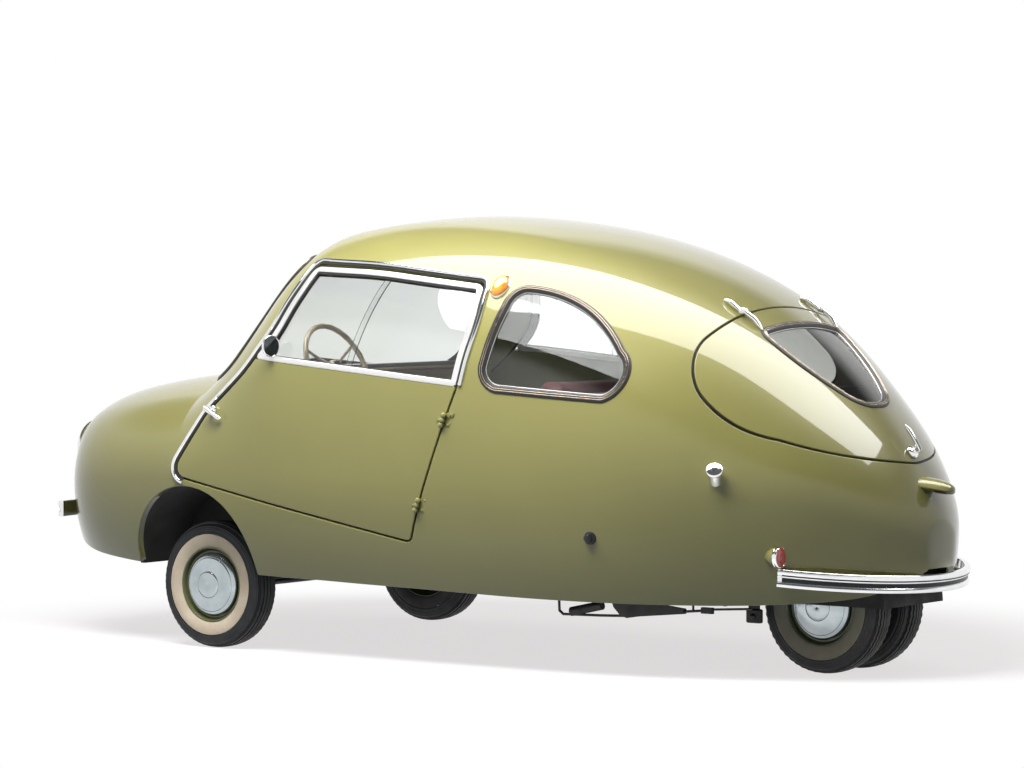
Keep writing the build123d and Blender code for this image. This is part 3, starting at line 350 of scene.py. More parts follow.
REAR_GLASS = resample(arcs((0, 242), (110, 241), (182, 236), (209, 223), (214, 198), (178, 62),
                           (112, -62), (70, -98), (0, -112)), FINE, False)
ARCH = (797.0, 248.0, 264.0)                   # x, z and radius of the front wheel opening
LAMP = (300.0, 596.0, 96.0)                    # y, z and radius of a headlamp's fairing


def anywhere(points):
    return np.ones(points.shape[:-1], bool)


def ahead(points):
    return (points[..., 0] > 320) & (points[..., 2] > 600)


def behind(points):
    return (points[..., 0] < -700) & (points[..., 2] > 380)


def at_nose(points):
    return points[..., 0] > 1100


def on_skin(line, view, allowed=anywhere, step=STEP, closed=True):
    return find_on_skin(view, resample(line, step, closed), allowed)


def half_on_skin(line, view, allowed):
    """An open half outline on the skin, with both its ends exactly on the centreline."""
    pq = on_skin(line, view, allowed, closed=False)
    pq[0, 1] = pq[-1, 1] = ACROSS
    return pq


def sill_z(x, up=0.0):
    """Height of the door's sill line, or of a line `up` above it."""
    (x0, z0), (x1, z1) = SILL
    return z0 + (z1 - z0) * (x - x0) / (x1 - x0) + up


# ----------------------------------------------------------------- mesh making
class Shape:
    """Collects points (millimetres), their normals and faces, and makes one smooth object."""

    def __init__(self):
        self.points, self.normals, self.faces, self.slots, self.count = [], [], [], [], 0

    def add(self, points, normals, faces, slot=0):
        """faces index these points."""
        self.points.append(np.asarray(points, float).reshape(-1, 3))
        self.normals.append(np.asarray(normals, float).reshape(-1, 3))
        self.faces += [tuple(int(i) + self.count for i in f) for f in faces]
        self.slots += [slot] * len(faces)
        self.count += len(self.points[-1])

    def grid(self, rows, normals, around=False, along=False, slot=0, flip=False):
        """A sheet of quads over rows x columns x 3; around closes the columns, along the rows."""
        rows = np.asarray(rows, float)
        m, n = rows.shape[:2]
        i, j = np.meshgrid(np.arange(m if along else m - 1), np.arange(n if around else n - 1), indexing="ij")
        a, b = i * n + j, i * n + (j + 1) % n
        c, d = ((i + 1) % m) * n + (j + 1) % n, ((i + 1) % m) * n + j
        quads = np.stack([a, b, c, d] if not flip else [d, c, b, a], -1).reshape(-1, 4)
        self.add(rows, normals, quads, slot)

    def fan(self, ring, normal, slot=0, flip=False, centre=None):
        """A flat cap over a closed ring."""
        ring = np.asarray(ring, float)
        centre, n = ring.mean(0) if centre is None else centre, len(ring)
        faces = [(k, (k + 1) % n, n) if not flip else ((k + 1) % n, k, n) for k in range(n)]
        self.add(np.concatenate([ring, [centre]]), np.tile(normal, (n + 1, 1)), faces, slot)

    def mirror(self):
        """Adds the same shape on the other side of the car."""
        points, normals = np.concatenate(self.points), np.concatenate(self.normals)
        base = self.count
        self.points.append(points * OTHER_SIDE)
        self.normals.append(normals * OTHER_SIDE)
        self.faces += [tuple(i + base for i in reversed(f)) for f in self.faces]
        self.slots += list(self.slots)
        self.count += len(points)
        return self

    def for_side(self, side):
        """This left-hand shape, or its mirror image for side -1."""
        if side > 0:
            return self
        other = Shape()
        other.points = [p * OTHER_SIDE for p in self.points]
        other.normals = [n * OTHER_SIDE for n in self.normals]
        other.faces, other.slots = [tuple(reversed(f)) for f in self.faces], self.slots
        other.count = self.count
        return other

    def make(self, name, materials, body, slot, replaces=()):
        """The mesh itself, riding a body and standing for CAD nodes."""
        points, normals = np.concatenate(self.points), np.concatenate(self.normals)
        mesh = bpy.data.meshes.new(name)
        mesh.from_pydata((points * MM).tolist(), [], self.faces)
        for m in materials if isinstance(materials, (list, tuple)) else [materials]:
            mesh.materials.append(m)
        mesh.polygons.foreach_set("material_index", np.array(self.slots, np.int32))
        mesh.polygons.foreach_set("use_smooth", np.ones(len(mesh.polygons), bool))
        length = np.linalg.norm(normals, axis=1, keepdims=True)
        mesh.normals_split_custom_set_from_vertices((normals / np.where(length < 1e-9, 1, length)).tolist())
        mesh.validate()
        mesh.update()
        place(bpy.data.objects.new(name, mesh), body, replaces)


def on_both_doors(shape, name, materials, slot, node=""):
    """A left-hand shape made for each door; {} in the names stands for the side."""
    for side, word in SIDES:
        shape.for_side(side).make(name.format(word), materials, f"{word}_door", slot, node.format(word))


def place(piece, body, replaces=()):
    """Puts a piece in the scene, riding its body and standing for CAD nodes."""
    if piece.name not in bpy.context.scene.collection.objects:
        bpy.context.scene.collection.objects.link(piece)
    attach(piece, body)
    if replaces:
        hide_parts(*([replaces] if isinstance(replaces, str) else replaces))


def grid_normals(rows, around, along):
    n = np.cross(flow(rows, around, 1), flow(rows, along, 0))
    size = np.linalg.norm(n, axis=2, keepdims=True)
    return n / np.where(size < 1e-12, 1, size)


def facing(rows, toward, around=True):
    """Normals of a grid, all turned to agree with `toward`."""
    normals = grid_normals(rows, around, False)
    return normals * np.sign((normals * toward).sum())


def inside(polygon, points):
    """Which points lie inside a closed polygon."""
    x, y, hit = points[:, 0], points[:, 1], np.zeros(len(points), bool)
    for (x0, y0), (x1, y1) in zip(polygon, np.roll(polygon, -1, 0)):
        if y0 != y1:
            hit ^= ((y0 > y) != (y1 > y)) & (x < (x1 - x0) * (y - y0) / (y1 - y0) + x0)
    return hit


def panel_triangles(lines, keep, bounds, step=20.0):
    """Triangles over part of the skin's coordinates that follow the lines; keep picks the wanted ones.
    lines are (points, closed)."""
    (p0, q0), (p1, q1) = bounds
    ps = np.linspace(p0, p1, int((p1 - p0) / step) + 2)
    qs = np.linspace(q0, q1, int((q1 - q0) / step) + 2)
    grid = np.stack(np.meshgrid(ps, qs, indexing="ij"), -1).reshape(-1, 2)
    fixed, edges, base = [], [], 0
    for line, closed in lines:
        n = len(line)
        fixed.append(line)
        edges += [(base + k, base + (k + 1) % n) for k in range(n if closed else n - 1)]
        base += n
    clear = np.ones(len(grid), bool)
    for line, _ in lines:
        low, high = line.min(0) - step, line.max(0) + step
        near = np.where(((grid > low) & (grid < high)).all(1))[0]
        gap = np.sqrt(((grid[near][:, None] - line[None]) ** 2).sum(2)).min(1) if len(near) else []
        edge = ((grid[near] == (p0, q0)) | (grid[near] == (p1, q1))).any(1)
        clear[near[(np.array(gap) < step * np.where(edge, 0.3, 0.6))]] = False
    points = np.concatenate(fixed + [grid[clear]]) if fixed else grid
    out, _, faces = delaunay_2d_cdt([Vector(p) for p in points], edges, [], 0, 1e-3)[:3]
    pq = np.array([tuple(v) for v in out])
    faces = np.array([f for f in faces if len(f) == 3])
    chosen = faces[keep(pq[faces].mean(1))]
    used = np.unique(chosen)
    renumber = np.zeros(len(pq), int)
    renumber[used] = np.arange(len(used))
    pq, chosen = pq[used], renumber[chosen]
    a, b, c = pq[chosen[:, 0]], pq[chosen[:, 1]], pq[chosen[:, 2]]
    turn = (b[:, 0] - a[:, 0]) * (c[:, 1] - a[:, 1]) - (b[:, 1] - a[:, 1]) * (c[:, 0] - a[:, 0])
    chosen[turn > 0] = chosen[turn > 0][:, ::-1]
    return pq, chosen


def borders(faces):
    """The open edges of a triangle sheet as chains of points, the sheet on their left; (chain, closed)."""
    edges = {e: True for a, b, c in faces for e in ((a, b), (b, c), (c, a))}
    following = {a: b for (a, b) in edges if (b, a) not in edges}
    starts = set(following) - set(following.values())
    chains, left = [], dict(following)
    for first in sorted(starts) + sorted(following):
        if first not in left:
            continue
        chain = [first]
        while chain[-1] in left:
            chain.append(left.pop(chain[-1]))
        closed = chain[0] == chain[-1]
        chains.append((chain[:-1] if closed else chain, closed))
    return chains


ROLL = 3.0                # radius of a panel's rolled edge
PANEL = 22.0              # how deep a panel's edge goes


def skin_sheet(shape, pq, faces, flat_edge=None):
    """A panel over the skin: its outer face, rolled edges, and an inner face PANEL below.
    flat_edge picks the border points that get no rolled edge."""
    points, normals = skin_at(pq)
    on_middle = pq[:, 1] > ACROSS - 1e-4
    points[on_middle, 1] = normals[on_middle, 1] = 0
    shape.add(points, normals, faces)
    shape.add(points - normals * PANEL, -normals, faces[:, ::-1], 1)
    plain = on_middle | (flat_edge(pq) if flat_edge is not None else False)
    for chain, _ in borders(faces):
        chain = np.array(chain)
        kept = ~(plain[chain] & plain[np.roll(chain, -1)])
        if kept.all():
            edge_strip(shape, points, normals, np.append(chain, chain[0]), True, on_middle)
            continue
        first = int(np.where(~kept)[0][0]) + 1
        chain, kept = np.roll(chain, -first), np.roll(kept, -first)
        run = [chain[0]]
        for k in range(len(chain)):
            if kept[k]:
                run.append(chain[(k + 1) % len(chain)])
            else:
                if len(run) > 2:
                    edge_strip(shape, points, normals, np.array(run), False, on_middle)
                run = [chain[(k + 1) % len(chain)]]


def edge_strip(shape, points, normals, index, closed, on_middle):
    """The rolled edge along one run of border points."""
    p, n = points[index], normals[index]
    t = flow(p[:-1], True) if closed else flow(p, False)
    out = np.cross(np.concatenate([t, t[:1]]) if closed else t, n)
    out[on_middle[index], 1] = 0
    out = unit_rows(out)
    rings, ring_normals = [], []
    for k in range(5):
        a = k / 4 * pi / 2
        rings.append(p + out * ROLL * sin(a) - n * ROLL * (1 - cos(a)))
        ring_normals.append(n * cos(a) + out * sin(a))
    rings.append(p + out * ROLL - n * PANEL)
    ring_normals.append(out)
    m = len(index)
    quads = [(r * m + k, (r + 1) * m + k, (r + 1) * m + k + 1, r * m + k + 1)
             for r in range(len(rings) - 1) for k in range(m - 1)]
    shape.add(rings, ring_normals, quads)
    back = np.array([rings[-1], p - n * PANEL])
    quads = [(k, m + k, m + k + 1, k + 1) for k in range(m - 1)]
    shape.add(back, np.array([-n, -n]), quads, 1)


# ------------------------------------------------------------------- materials
def node_tree(name):
    """A new material with its nodes, links and surface shader."""
    m = bpy.data.materials.new(name)
    m.use_nodes = True
    return m, m.node_tree.nodes, m.node_tree.links, m.node_tree.nodes["Principled BSDF"]


def noise(nodes, links, scale, detail=3.0, rough=0.5, stretch=None):
    """A noise texture in the object's own space."""
    coords, tex = nodes.new("ShaderNodeTexCoord"), nodes.new("ShaderNodeTexNoise")
    tex.inputs["Scale"].default_value = scale
    tex.inputs["Detail"].default_value = detail
    tex.inputs["Roughness"].default_value = rough
    source = coords.outputs["Object"]
    if stretch:
        mapping = nodes.new("ShaderNodeMapping")
        mapping.inputs["Scale"].default_value = stretch
        links.new(source, mapping.inputs["Vector"])
        source = mapping.outputs["Vector"]
    links.new(source, tex.inputs["Vector"])
    return tex.outputs["Fac"]


RAMP_ENDS = (0.3, 0.7)    # a noise below the first gives the low value, above the second the high one


def ramp(nodes, links, fac, low, high):
    """A colour that runs from low to high with a noise."""
    r = nodes.new("ShaderNodeValToRGB")
    for element, place_in_noise, colour in zip(r.color_ramp.elements, RAMP_ENDS, (low, high)):
        element.position, element.color = place_in_noise, (*colour, 1)
    links.new(fac, r.inputs["Fac"])
    return r.outputs["Color"]


def bump(nodes, links, bsdf, fac, strength, distance):
    b = nodes.new("ShaderNodeBump")
    b.inputs["Strength"].default_value = strength
    b.inputs["Distance"].default_value = distance
    links.new(fac, b.inputs["Height"])
    links.new(b.outputs["Normal"], bsdf.inputs["Normal"])


def varied(name, low, high, scale, rough=(0.4, 0.5), metal=0.0, bumps=None, stretch=None, detail=3.0,
           **sockets):
    """A material whose colour and roughness drift between two values over the surface.
    bumps is (scale, strength, distance)."""
    m, nodes, links, bsdf = node_tree(name)
    fac = noise(nodes, links, scale, detail, 0.55, stretch)
    links.new(ramp(nodes, links, fac, low, high), bsdf.inputs["Base Color"])
    smoothest, roughest = ((v, v, v) for v in rough)
    links.new(ramp(nodes, links, fac, smoothest, roughest), bsdf.inputs["Roughness"])
    bsdf.inputs["Metallic"].default_value = metal
    for socket, value in sockets.items():
        bsdf.inputs[socket.replace("_", " ")].default_value = value
    if bumps:
        bump(nodes, links, bsdf, noise(nodes, links, bumps[0], 2.0), bumps[1], bumps[2])
    return m


GREEN = (0.235, 0.220, 0.070)
paint = varied("olive_paint", tuple(c * 0.97 for c in GREEN), tuple(c * 1.03 for c in GREEN), 3.0,
               rough=(0.30, 0.34), bumps=(180.0, 0.012, 0.001), Coat_Weight=1.0, Coat_Roughness=0.035,
               Specular_IOR_Level=0.2, Coat_IOR=1.42)
lining = varied("cabin_lining", (0.16, 0.165, 0.075), (0.19, 0.19, 0.09), 40.0, rough=(0.6, 0.75),
                bumps=(900.0, 0.15, 0.001))
chrome = varied("chrome_plate", (0.78, 0.79, 0.80), (0.86, 0.87, 0.88), 25.0, rough=(0.05, 0.10), metal=1.0)
aluminium = varied("bright_aluminium", (0.80, 0.80, 0.79), (0.88, 0.88, 0.87), 60.0, rough=(0.30, 0.38),
                   metal=0.75, stretch=(1, 8, 8))
rubber = varied("black_rubber", (0.012, 0.012, 0.011), (0.022, 0.021, 0.019), 90.0, rough=(0.42, 0.6),
                bumps=(700.0, 0.2, 0.0006))
bronze = varied("seal_bead", (0.42, 0.35, 0.28), (0.52, 0.44, 0.35), 50.0, rough=(0.2, 0.3), metal=1.0)
black_metal = varied("black_underside", (0.012, 0.012, 0.012), (0.03, 0.028, 0.026), 22.0, rough=(0.45, 0.7),
                     bumps=(260.0, 0.2, 0.001))


def clear_glass(name, tint):
    """Smooth glass of one tint all over."""
    m, _, _, bsdf = node_tree(name)
    for socket, value in {"Base Color": (*tint, 1), "Roughness": 0.0, "IOR": 1.45,
                          "Transmission Weight": 1.0}.items():
        bsdf.inputs[socket].default_value = value
    return m


glass = clear_glass("window_glass", (0.93, 0.95, 0.94))
rear_tint = clear_glass("tinted_rear_glass", (0.55, 0.56, 0.53))


# --------------------------------------------------------------- painted panels
door_hole = on_skin(grow(DOOR, SHUT_GAP + ROLL), side_view)
door_edge = on_skin(grow(DOOR, -ROLL), side_view)
quarter_hole = on_skin(grow(QUARTER, ROLL), side_view)
screen_hole = half_on_skin(grow(SCREEN, ROLL, False), front_view, ahead)
lid_hole = half_on_skin(grow(LID_EDGE, SHUT_GAP + ROLL, False), lid_view, behind)
lid_edge = half_on_skin(grow(LID_EDGE, -ROLL, False), lid_view, behind)
glass_hole = half_on_skin(grow(REAR_GLASS, ROLL, False), lid_view, behind)
FAIRING_EDGE = 14.0       # how far a headlamp's fairing spreads past its radius
turns = round_angles(72)
lamp_ring = np.stack([LAMP[0] + (LAMP[2] + FAIRING_EDGE) * np.cos(turns),
                      LAMP[1] + (LAMP[2] + FAIRING_EDGE) * np.sin(turns)], 1)
lamp_hole = on_skin(lamp_ring, front_view, at_nose)


def arch_line(radius):
    """The wheel opening, from the lower edge behind the wheel over to the one in front."""
    x, z, _ = ARCH
    angles = np.linspace(pi + 0.2, -0.2, 200)
    line = np.stack([x + radius * np.cos(angles), z + radius * np.sin(angles)], 1)
    edge = np.interp(line[:, 0], SKIN[:, 0, 0], SKIN[:, 0, 2])
    return line[line[:, 1] > edge]


arch_edge = on_skin(arch_line(ARCH[2] + ROLL), side_view, closed=False)
arch_edge[0, 1] = arch_edge[-1, 1] = 0.0


def wide(pq, q_beyond):
    """A half outline closed off well beyond the edge that it ends at."""
    return np.concatenate([pq, [[pq[-1, 0], q_beyond], [pq[0, 0], q_beyond]]])


def body_wanted(at):
    """Which skin coordinates lie outside every hole in the body."""
    holes = (door_hole, quarter_hole, wide(screen_hole, 2 * ACROSS), wide(lid_hole, 2 * ACROSS), lamp_hole,
             wide(arch_edge, -ACROSS))
    return ~np.any([inside(h, at) for h in holes], 0)


def ends_of_body(pq):
    return (pq[:, 0] < 1e-3) | (pq[:, 0] > P_END - 1e-3)


body_pq, body_faces = panel_triangles(
    [(door_hole, True), (quarter_hole, True), (screen_hole, False), (lid_hole, False), (lamp_hole, True),
     (arch_edge, False)], body_wanted, ((0, 0), (P_END, ACROSS)))
body_shape = Shape()
skin_sheet(body_shape, body_pq, body_faces, flat_edge=ends_of_body)


def end_cap(shape, station, bulge, way):
    """A shallow dome over the end of the skin; way is 1 at the nose and -1 at the tail."""
    ring, normals = SKIN[station, ::8], NORMALS[station, ::8]
    ring = np.concatenate([ring, ring[-2::-1] * OTHER_SIDE])
    normals = np.concatenate([normals, normals[-2::-1] * OTHER_SIDE])
    share = np.linspace(0, 1, 9)[1:, None]
    ring = np.concatenate([ring, ring[-1] * (1 - share) + ring[0] * share])
    normals = np.concatenate([normals, normals[-1] * (1 - share) + normals[0] * share])
    centre = np.array([ring[0, 0], 0, (ring[:, 2].max() + ring[:, 2].min()) / 2])
    rows, norms = [], []
    away = ring - centre
    flat = away[:, 1:] / np.maximum(np.linalg.norm(away[:, 1:], axis=1, keepdims=True) ** 2, 1)
    for share in np.linspace(1, 0, 12):
        row = centre + away * share + np.array([way * bulge * (1 - share ** 2), 0, 0])
        slope = unit_rows(np.column_stack([np.full(len(ring), way), 2 * bulge * share * flat]))
        mix = share ** 6
        rows.append(row)
        norms.append(slope * (1 - mix) + normals * mix)
    shape.grid(rows, np.array(norms), flip=way < 0)


body_shape.mirror()
end_cap(body_shape, -1, 8.0, 1)
end_cap(body_shape, 0, 4.0, -1)
body_shape.make("body_shell", [paint, lining], "car_body", "paint", ["nose_body", "cabin_body", "tail_body"])


def door_wanted(at):
    """Which skin coordinates lie in the door and under its sill line."""
    xyz = skin_at(at)[0]
    return inside(door_edge, at) & (xyz[:, 2] < sill_z(xyz[:, 0], -ROLL))


PANEL_MARGIN = 20         # past a panel's outline, where its grid of points ends
PANEL_STEP = 14.0         # of that grid, on the doors and the lid
sill_xs = np.arange(-420.0, 700.0, STEP)
sill_line = find_on_skin(side_view, np.stack([sill_xs, sill_z(sill_xs, -ROLL)], 1), anywhere)
low, high = door_edge.min(0) - PANEL_MARGIN, door_edge.max(0) + PANEL_MARGIN
door_pq, door_faces = panel_triangles([(door_edge, True), (sill_line, False)], door_wanted, (low, high),
                                      PANEL_STEP)
door_shape = Shape()
skin_sheet(door_shape, door_pq, door_faces)
on_both_doors(door_shape, "door_panel_{}", [paint, lining], "paint", "door_{}")


def lid_wanted(at):
    """Which skin coordinates lie in the tail lid and outside its window."""
    return inside(wide(lid_edge, 2 * ACROSS), at) & ~inside(wide(glass_hole, 2 * ACROSS), at)


low, high = lid_edge.min(0) - PANEL_MARGIN, np.array([lid_edge[:, 0].max() + PANEL_MARGIN, ACROSS])
lid_pq, lid_faces = panel_triangles([(lid_edge, False), (glass_hole, False)], lid_wanted, (low, high),
                                    PANEL_STEP)
lid_shape = Shape()
skin_sheet(lid_shape, lid_pq, lid_faces)
lid_shape.mirror().make("tail_lid_panel", [paint, lining], "tail_lid", "paint", "rear_lid")


# ------------------------------------------------------------ trim along the skin
def skin_frame(pq, closed, both_sides=False):
    """Points on the skin with their normals and the direction out of the outline they go round.
    both_sides turns a half outline into the whole one, across the car."""
    points, normals = skin_at(pq)
    if both_sides:
        points[[0, -1], 1] = 0
        normals[[0, -1], 1] = 0
        points = np.concatenate([points, points[-2:0:-1] * OTHER_SIDE])
        normals = unit_rows(np.concatenate([normals, normals[-2:0:-1] * OTHER_SIDE]))
        closed = True
    out = unit_rows(np.cross(flow(points, closed), normals))
    if ((points - points.mean(0)) * out).sum() < 0:
        out = -out
    return points, normals, out


def sweep(shape, points, normals, out, profile, closed, slot=0, ends=False):
    """A strip whose closed cross-section is profile: (outward, up from the skin) in millimetres."""
    profile = np.asarray(profile, float)
    rows = points[:, None] + out[:, None] * profile[None, :, :1] + normals[:, None] * profile[None, :, 1:]
    way = flow(profile, True)
    cross = unit_rows(np.stack([way[:, 1], -way[:, 0]], 1))
    norms = out[:, None] * cross[None, :, :1] + normals[:, None] * cross[None, :, 1:]
    area = signed_area(profile)
    flip = (np.cross(normals, out)[0] @ (points[1] - points[0]) > 0) == (area > 0)
    if area < 0:
        norms = -norms
    shape.grid(rows, norms, True, closed, slot, flip)
    if ends:
        shape.fan(rows[0], unit(points[0] - points[1]), slot, not flip)
        shape.fan(rows[-1], unit(points[-1] - points[-2]), slot, flip)


def oval(width, height, at, count, power=2.0):
    """A closed oval or soft-cornered box as a cross-section."""
    c, s = np.cos(round_angles(count)), np.sin(round_angles(count))
    return np.stack([at[0] + width / 2 * np.sign(c) * np.abs(c) ** (2 / power),
                     at[1] + height / 2 * np.sign(s) * np.abs(s) ** (2 / power)], 1)


def seal(shape, line, closed):
    """A window rubber lapping skin and glass, with a thin bright bead let into it."""
    sweep(shape, *line, RUBBER_SECTION, closed)
    for at, high in BEADS:
        sweep(shape, *line, oval(2.6, 1.8, (at, high), 10), closed, slot=1)
    sweep(shape, *line, oval(3.0, 2.2, (-14.2, -4.6), 10), closed, slot=2)


RUBBER_SECTION = section([(-16, -12, 3), (-16, -5, 3), (-9, 2.5, 5), (0, 5.5, 8), (9, 4, 5), (12, -0.5, 1),
                          (4, -1.5, 1), (4, -12, 1)], 2.0)
BEADS = ((-4.2, 5.4 - 0.4), (1.8, 6.2 - 0.4))      # outward, up: let in by 0.4 mm
quarter_line = on_skin(QUARTER, side_view)
screen_line = half_on_skin(SCREEN, front_view, ahead)
glass_line = half_on_skin(REAR_GLASS, lid_view, behind)
seals = Shape()
seal(seals, skin_frame(quarter_line, True), True)
seals.mirror()
seal(seals, skin_frame(screen_line, False, both_sides=True), True)
seals.make("window_rubbers", [rubber, bronze, aluminium], "car_body", "rubber", "window_seals")
back_seal = Shape()
seal(back_seal, skin_frame(glass_line, False, both_sides=True), True)
back_seal.make("tail_window_rubber", [rubber, bronze, aluminium], "tail_lid", "rubber", "rear_window_seal")


# ------------------------------------------------------------------------ glass
def pane_sheet(shape, line, view, allowed, closed, depth, wanted=None, extra=()):
    """Glass inside an outline of the skin, `depth` below it."""
    edge = (on_skin if closed else half_on_skin)(line, view, allowed)
    low, high = edge.min(0) - 15, edge.max(0) + 15
    if not closed:
        high[1] = ACROSS
    ring = edge if closed else wide(edge, 2 * ACROSS)
    lines = [(edge, closed)] + [(x, False) for x in extra]
    pq, faces = panel_triangles(lines, lambda at: inside(ring, at) & (wanted(at) if wanted else True),
                                (low, high), PANE_STEP)
    points, normals = skin_at(pq)
    on_middle = pq[:, 1] > ACROSS - 1e-4
    points[on_middle, 1] = normals[on_middle, 1] = 0
    shape.add(points - normals * depth, normals, faces)
    under = depth + PANE_THICK
    shape.add(points - normals * under, -normals, faces[:, ::-1])
    for chain, _ in borders(faces):
        ring = np.array(chain + chain[:1])
        rows = np.array([points[ring] - normals[ring] * depth, points[ring] - normals[ring] * under])
        keep = ~(on_middle[ring[:-1]] & on_middle[ring[1:]])
        out = np.cross(flow(points[ring], False), normals[ring])
        m = len(ring)
        quads = [(k, m + k, m + k + 1, k + 1) for k in range(m - 1) if keep[k]]
        shape.add(rows, np.array([out, out]), quads)


PANE_STEP, PANE_THICK, PANE_DEPTH = 30.0, 4.0, 6.0
PANE_EDGE = -12.0         # a fixed pane ends this far inside its outline, in the rubber
fixed_glass = Shape()
pane_sheet(fixed_glass, grow(QUARTER, PANE_EDGE), side_view, anywhere, True, PANE_DEPTH)
pane_sheet(fixed_glass, grow(SCREEN, PANE_EDGE, False), front_view, ahead, False, PANE_DEPTH)
fixed_glass.mirror().make("fixed_glass", glass, "car_body", "glass", "fixed_windows")
tail_glass = Shape()
pane_sheet(tail_glass, grow(REAR_GLASS, PANE_EDGE, False), lid_view, behind, False, PANE_DEPTH)
tail_glass.mirror().make("tail_glass", rear_tint, "tail_lid", "glass", "rear_window")


# -------------------------------------------------------------- door window frame
def above_sill(line, up):
    """The part of a closed side-view outline above the sill, with its two ends on it, front first."""
    keep = line[:, 1] > sill_z(line[:, 0], up)
    first = int(np.where(keep & ~np.roll(keep, 1))[0][0])
    run = np.roll(line, -first, 0)[:keep.sum()]
    return run if run[0, 0] > run[-1, 0] else run[::-1]


FRAME = 20.0              # width of the bright frame round a door window
frame_middle = above_sill(grow(DOOR, -FRAME / 2 - 1), 4.0)
window_hole = above_sill(grow(DOOR, -FRAME - 1), 18.0)
bar_xs = np.arange(frame_middle[-1, 0] - 6, frame_middle[0, 0] + 8, 12.0)
bar_middle = np.stack([bar_xs, sill_z(bar_xs, 9.0)], 1)
hole_xs = np.arange(window_hole[-1, 0] + 4, window_hole[0, 0] - 3, 4.0)
window_outline = np.concatenate([window_hole, np.stack([hole_xs, sill_z(hole_xs, 17.0)], 1)])
frame_shape = Shape()
head = skin_frame(on_skin(frame_middle, side_view, closed=False), False)
bar = skin_frame(find_on_skin(side_view, bar_middle, anywhere), False)
gasket = skin_frame(on_skin(window_outline, side_view), True)
sweep(frame_shape, *head, section([(-10, -20, 1), (-10, 1.0, 1.5), (-7, 2.2, 2), (7, 2.2, 2), (10, 1.0, 1.5),
                                   (10, -20, 1)]), False, ends=True)
sweep(frame_shape, *bar, section([(-9, -20, 1), (-9, 0.5, 1.5), (-6, 4, 3), (5, 3, 3), (9, -0.5, 1.5),
                                  (9, -20, 1)]), False, ends=True)
sweep(frame_shape, *gasket, section([(-3.5, -18, 1), (-3.5, -4, 1), (2, -2, 1), (2, -18, 1)]), True, slot=1)
on_both_doors(frame_shape, "window_frame_{}", [aluminium, rubber], "aluminium", "door_window_frame_{}")

SPLIT = ((38.0, 1250.0), (150.0, 850.0))       # the sliding panes lap along this line
LAP = 9.0                                      # half the width of the lap
SPLIT_ZS = np.arange(880.0, 1230.0, 10.0)


def split_x(z):
    (xt, zt), (xf, zf) = SPLIT
    return xt + (xf - xt) * (zt - z) / (zt - zf)


def ahead_of_split(at, shift):
    """Which skin coordinates lie ahead of the split line, moved forward by shift."""
    xyz = skin_at(at)[0]
    return xyz[:, 0] > split_x(xyz[:, 2]) + shift


def split_line(shift):
    return find_on_skin(side_view, np.stack([split_x(SPLIT_ZS) + shift, SPLIT_ZS], 1), anywhere)


window_fill = grow(resample(window_outline, FINE, True), 3.0)
panes = Shape()
pane_sheet(panes, window_fill, side_view, anywhere, True, 13.5,
           wanted=lambda at: ahead_of_split(at, -LAP), extra=[split_line(-LAP)])
pane_sheet(panes, window_fill, side_view, anywhere, True, 7.5,
           wanted=lambda at: ~ahead_of_split(at, LAP), extra=[split_line(LAP)])
on_both_doors(panes, "sliding_panes_{}", glass, "glass", "door_glass_{}")

# -------------------------------------------------------------------- drip rails
def nearest(line, x, z):
    """Which point of a side-view line lies nearest to a place."""
    return int(np.hypot(line[:, 0] - x, line[:, 1] - z).argmin())


RAIL_OUT = 7.0            # a drip rail's middle, out from the edge of the shut gap
rail_line = grow(DOOR, SHUT_GAP + RAIL_OUT)
rail_start, rail_end = nearest(rail_line, 800, 524), nearest(rail_line, -292, 846)
count = len(rail_line)
onward = 1 if (rail_end - rail_start) % count > (rail_start - rail_end) % count else -1    # over the roof
rail_run = rail_line[(rail_start + onward * np.arange((onward * (rail_end - rail_start)) % count)) % count]
rail_frame = skin_frame(on_skin(rail_run, side_view, step=7.0, closed=False), False)
rails = Shape()
sweep(rails, *rail_frame, oval(12.0, 12.0, (1.5, 3.5), 20, 2.3), False, ends=True)
rail_foot = section([(-11, -3, 0.5), (-11, 0.6, 0.5), (-4, 0.6, 0.5), (-4, -3, 0.5)])
sweep(rails, *rail_frame, rail_foot, False, slot=1)
rails.mirror().make("rain_gutters", [chrome, rubber], "car_body", "chrome", "drip_rails")

# dark rubber down in the shut lines
gaps = Shape()
gap_section = section([(-6, -20, 1), (-6, -13, 1), (6, -13, 1), (6, -20, 1)], 2.0)
door_gap = on_skin(grow(DOOR, SHUT_GAP / 2), side_view)
lid_gap = half_on_skin(grow(LID_EDGE, SHUT_GAP / 2, False), lid_view, behind)
sweep(gaps, *skin_frame(door_gap, True), gap_section, True)
gaps.mirror()
sweep(gaps, *skin_frame(lid_gap, False, both_sides=True), gap_section, True)
gaps.make("shut_line_rubbers", rubber, "car_body", "rubber")


# ------------------------------------------------------------- turned and boxed forms
def frame_of(axis, up=(0, 0, 1)):
    """Three unit vectors: along the axis, and two square to it."""
    a = unit(axis)
    b = np.array(up, float)
    b = unit(b - a * (a @ b))
    return a, b, np.cross(a, b)


def faced(shape, rows, normals, around=False, along=False, slot=0):
    """A grid whose faces are turned to agree with its normals."""
    shape.grid(rows, normals, around, along, slot, (grid_normals(rows, around, along) * normals).sum() < 0)


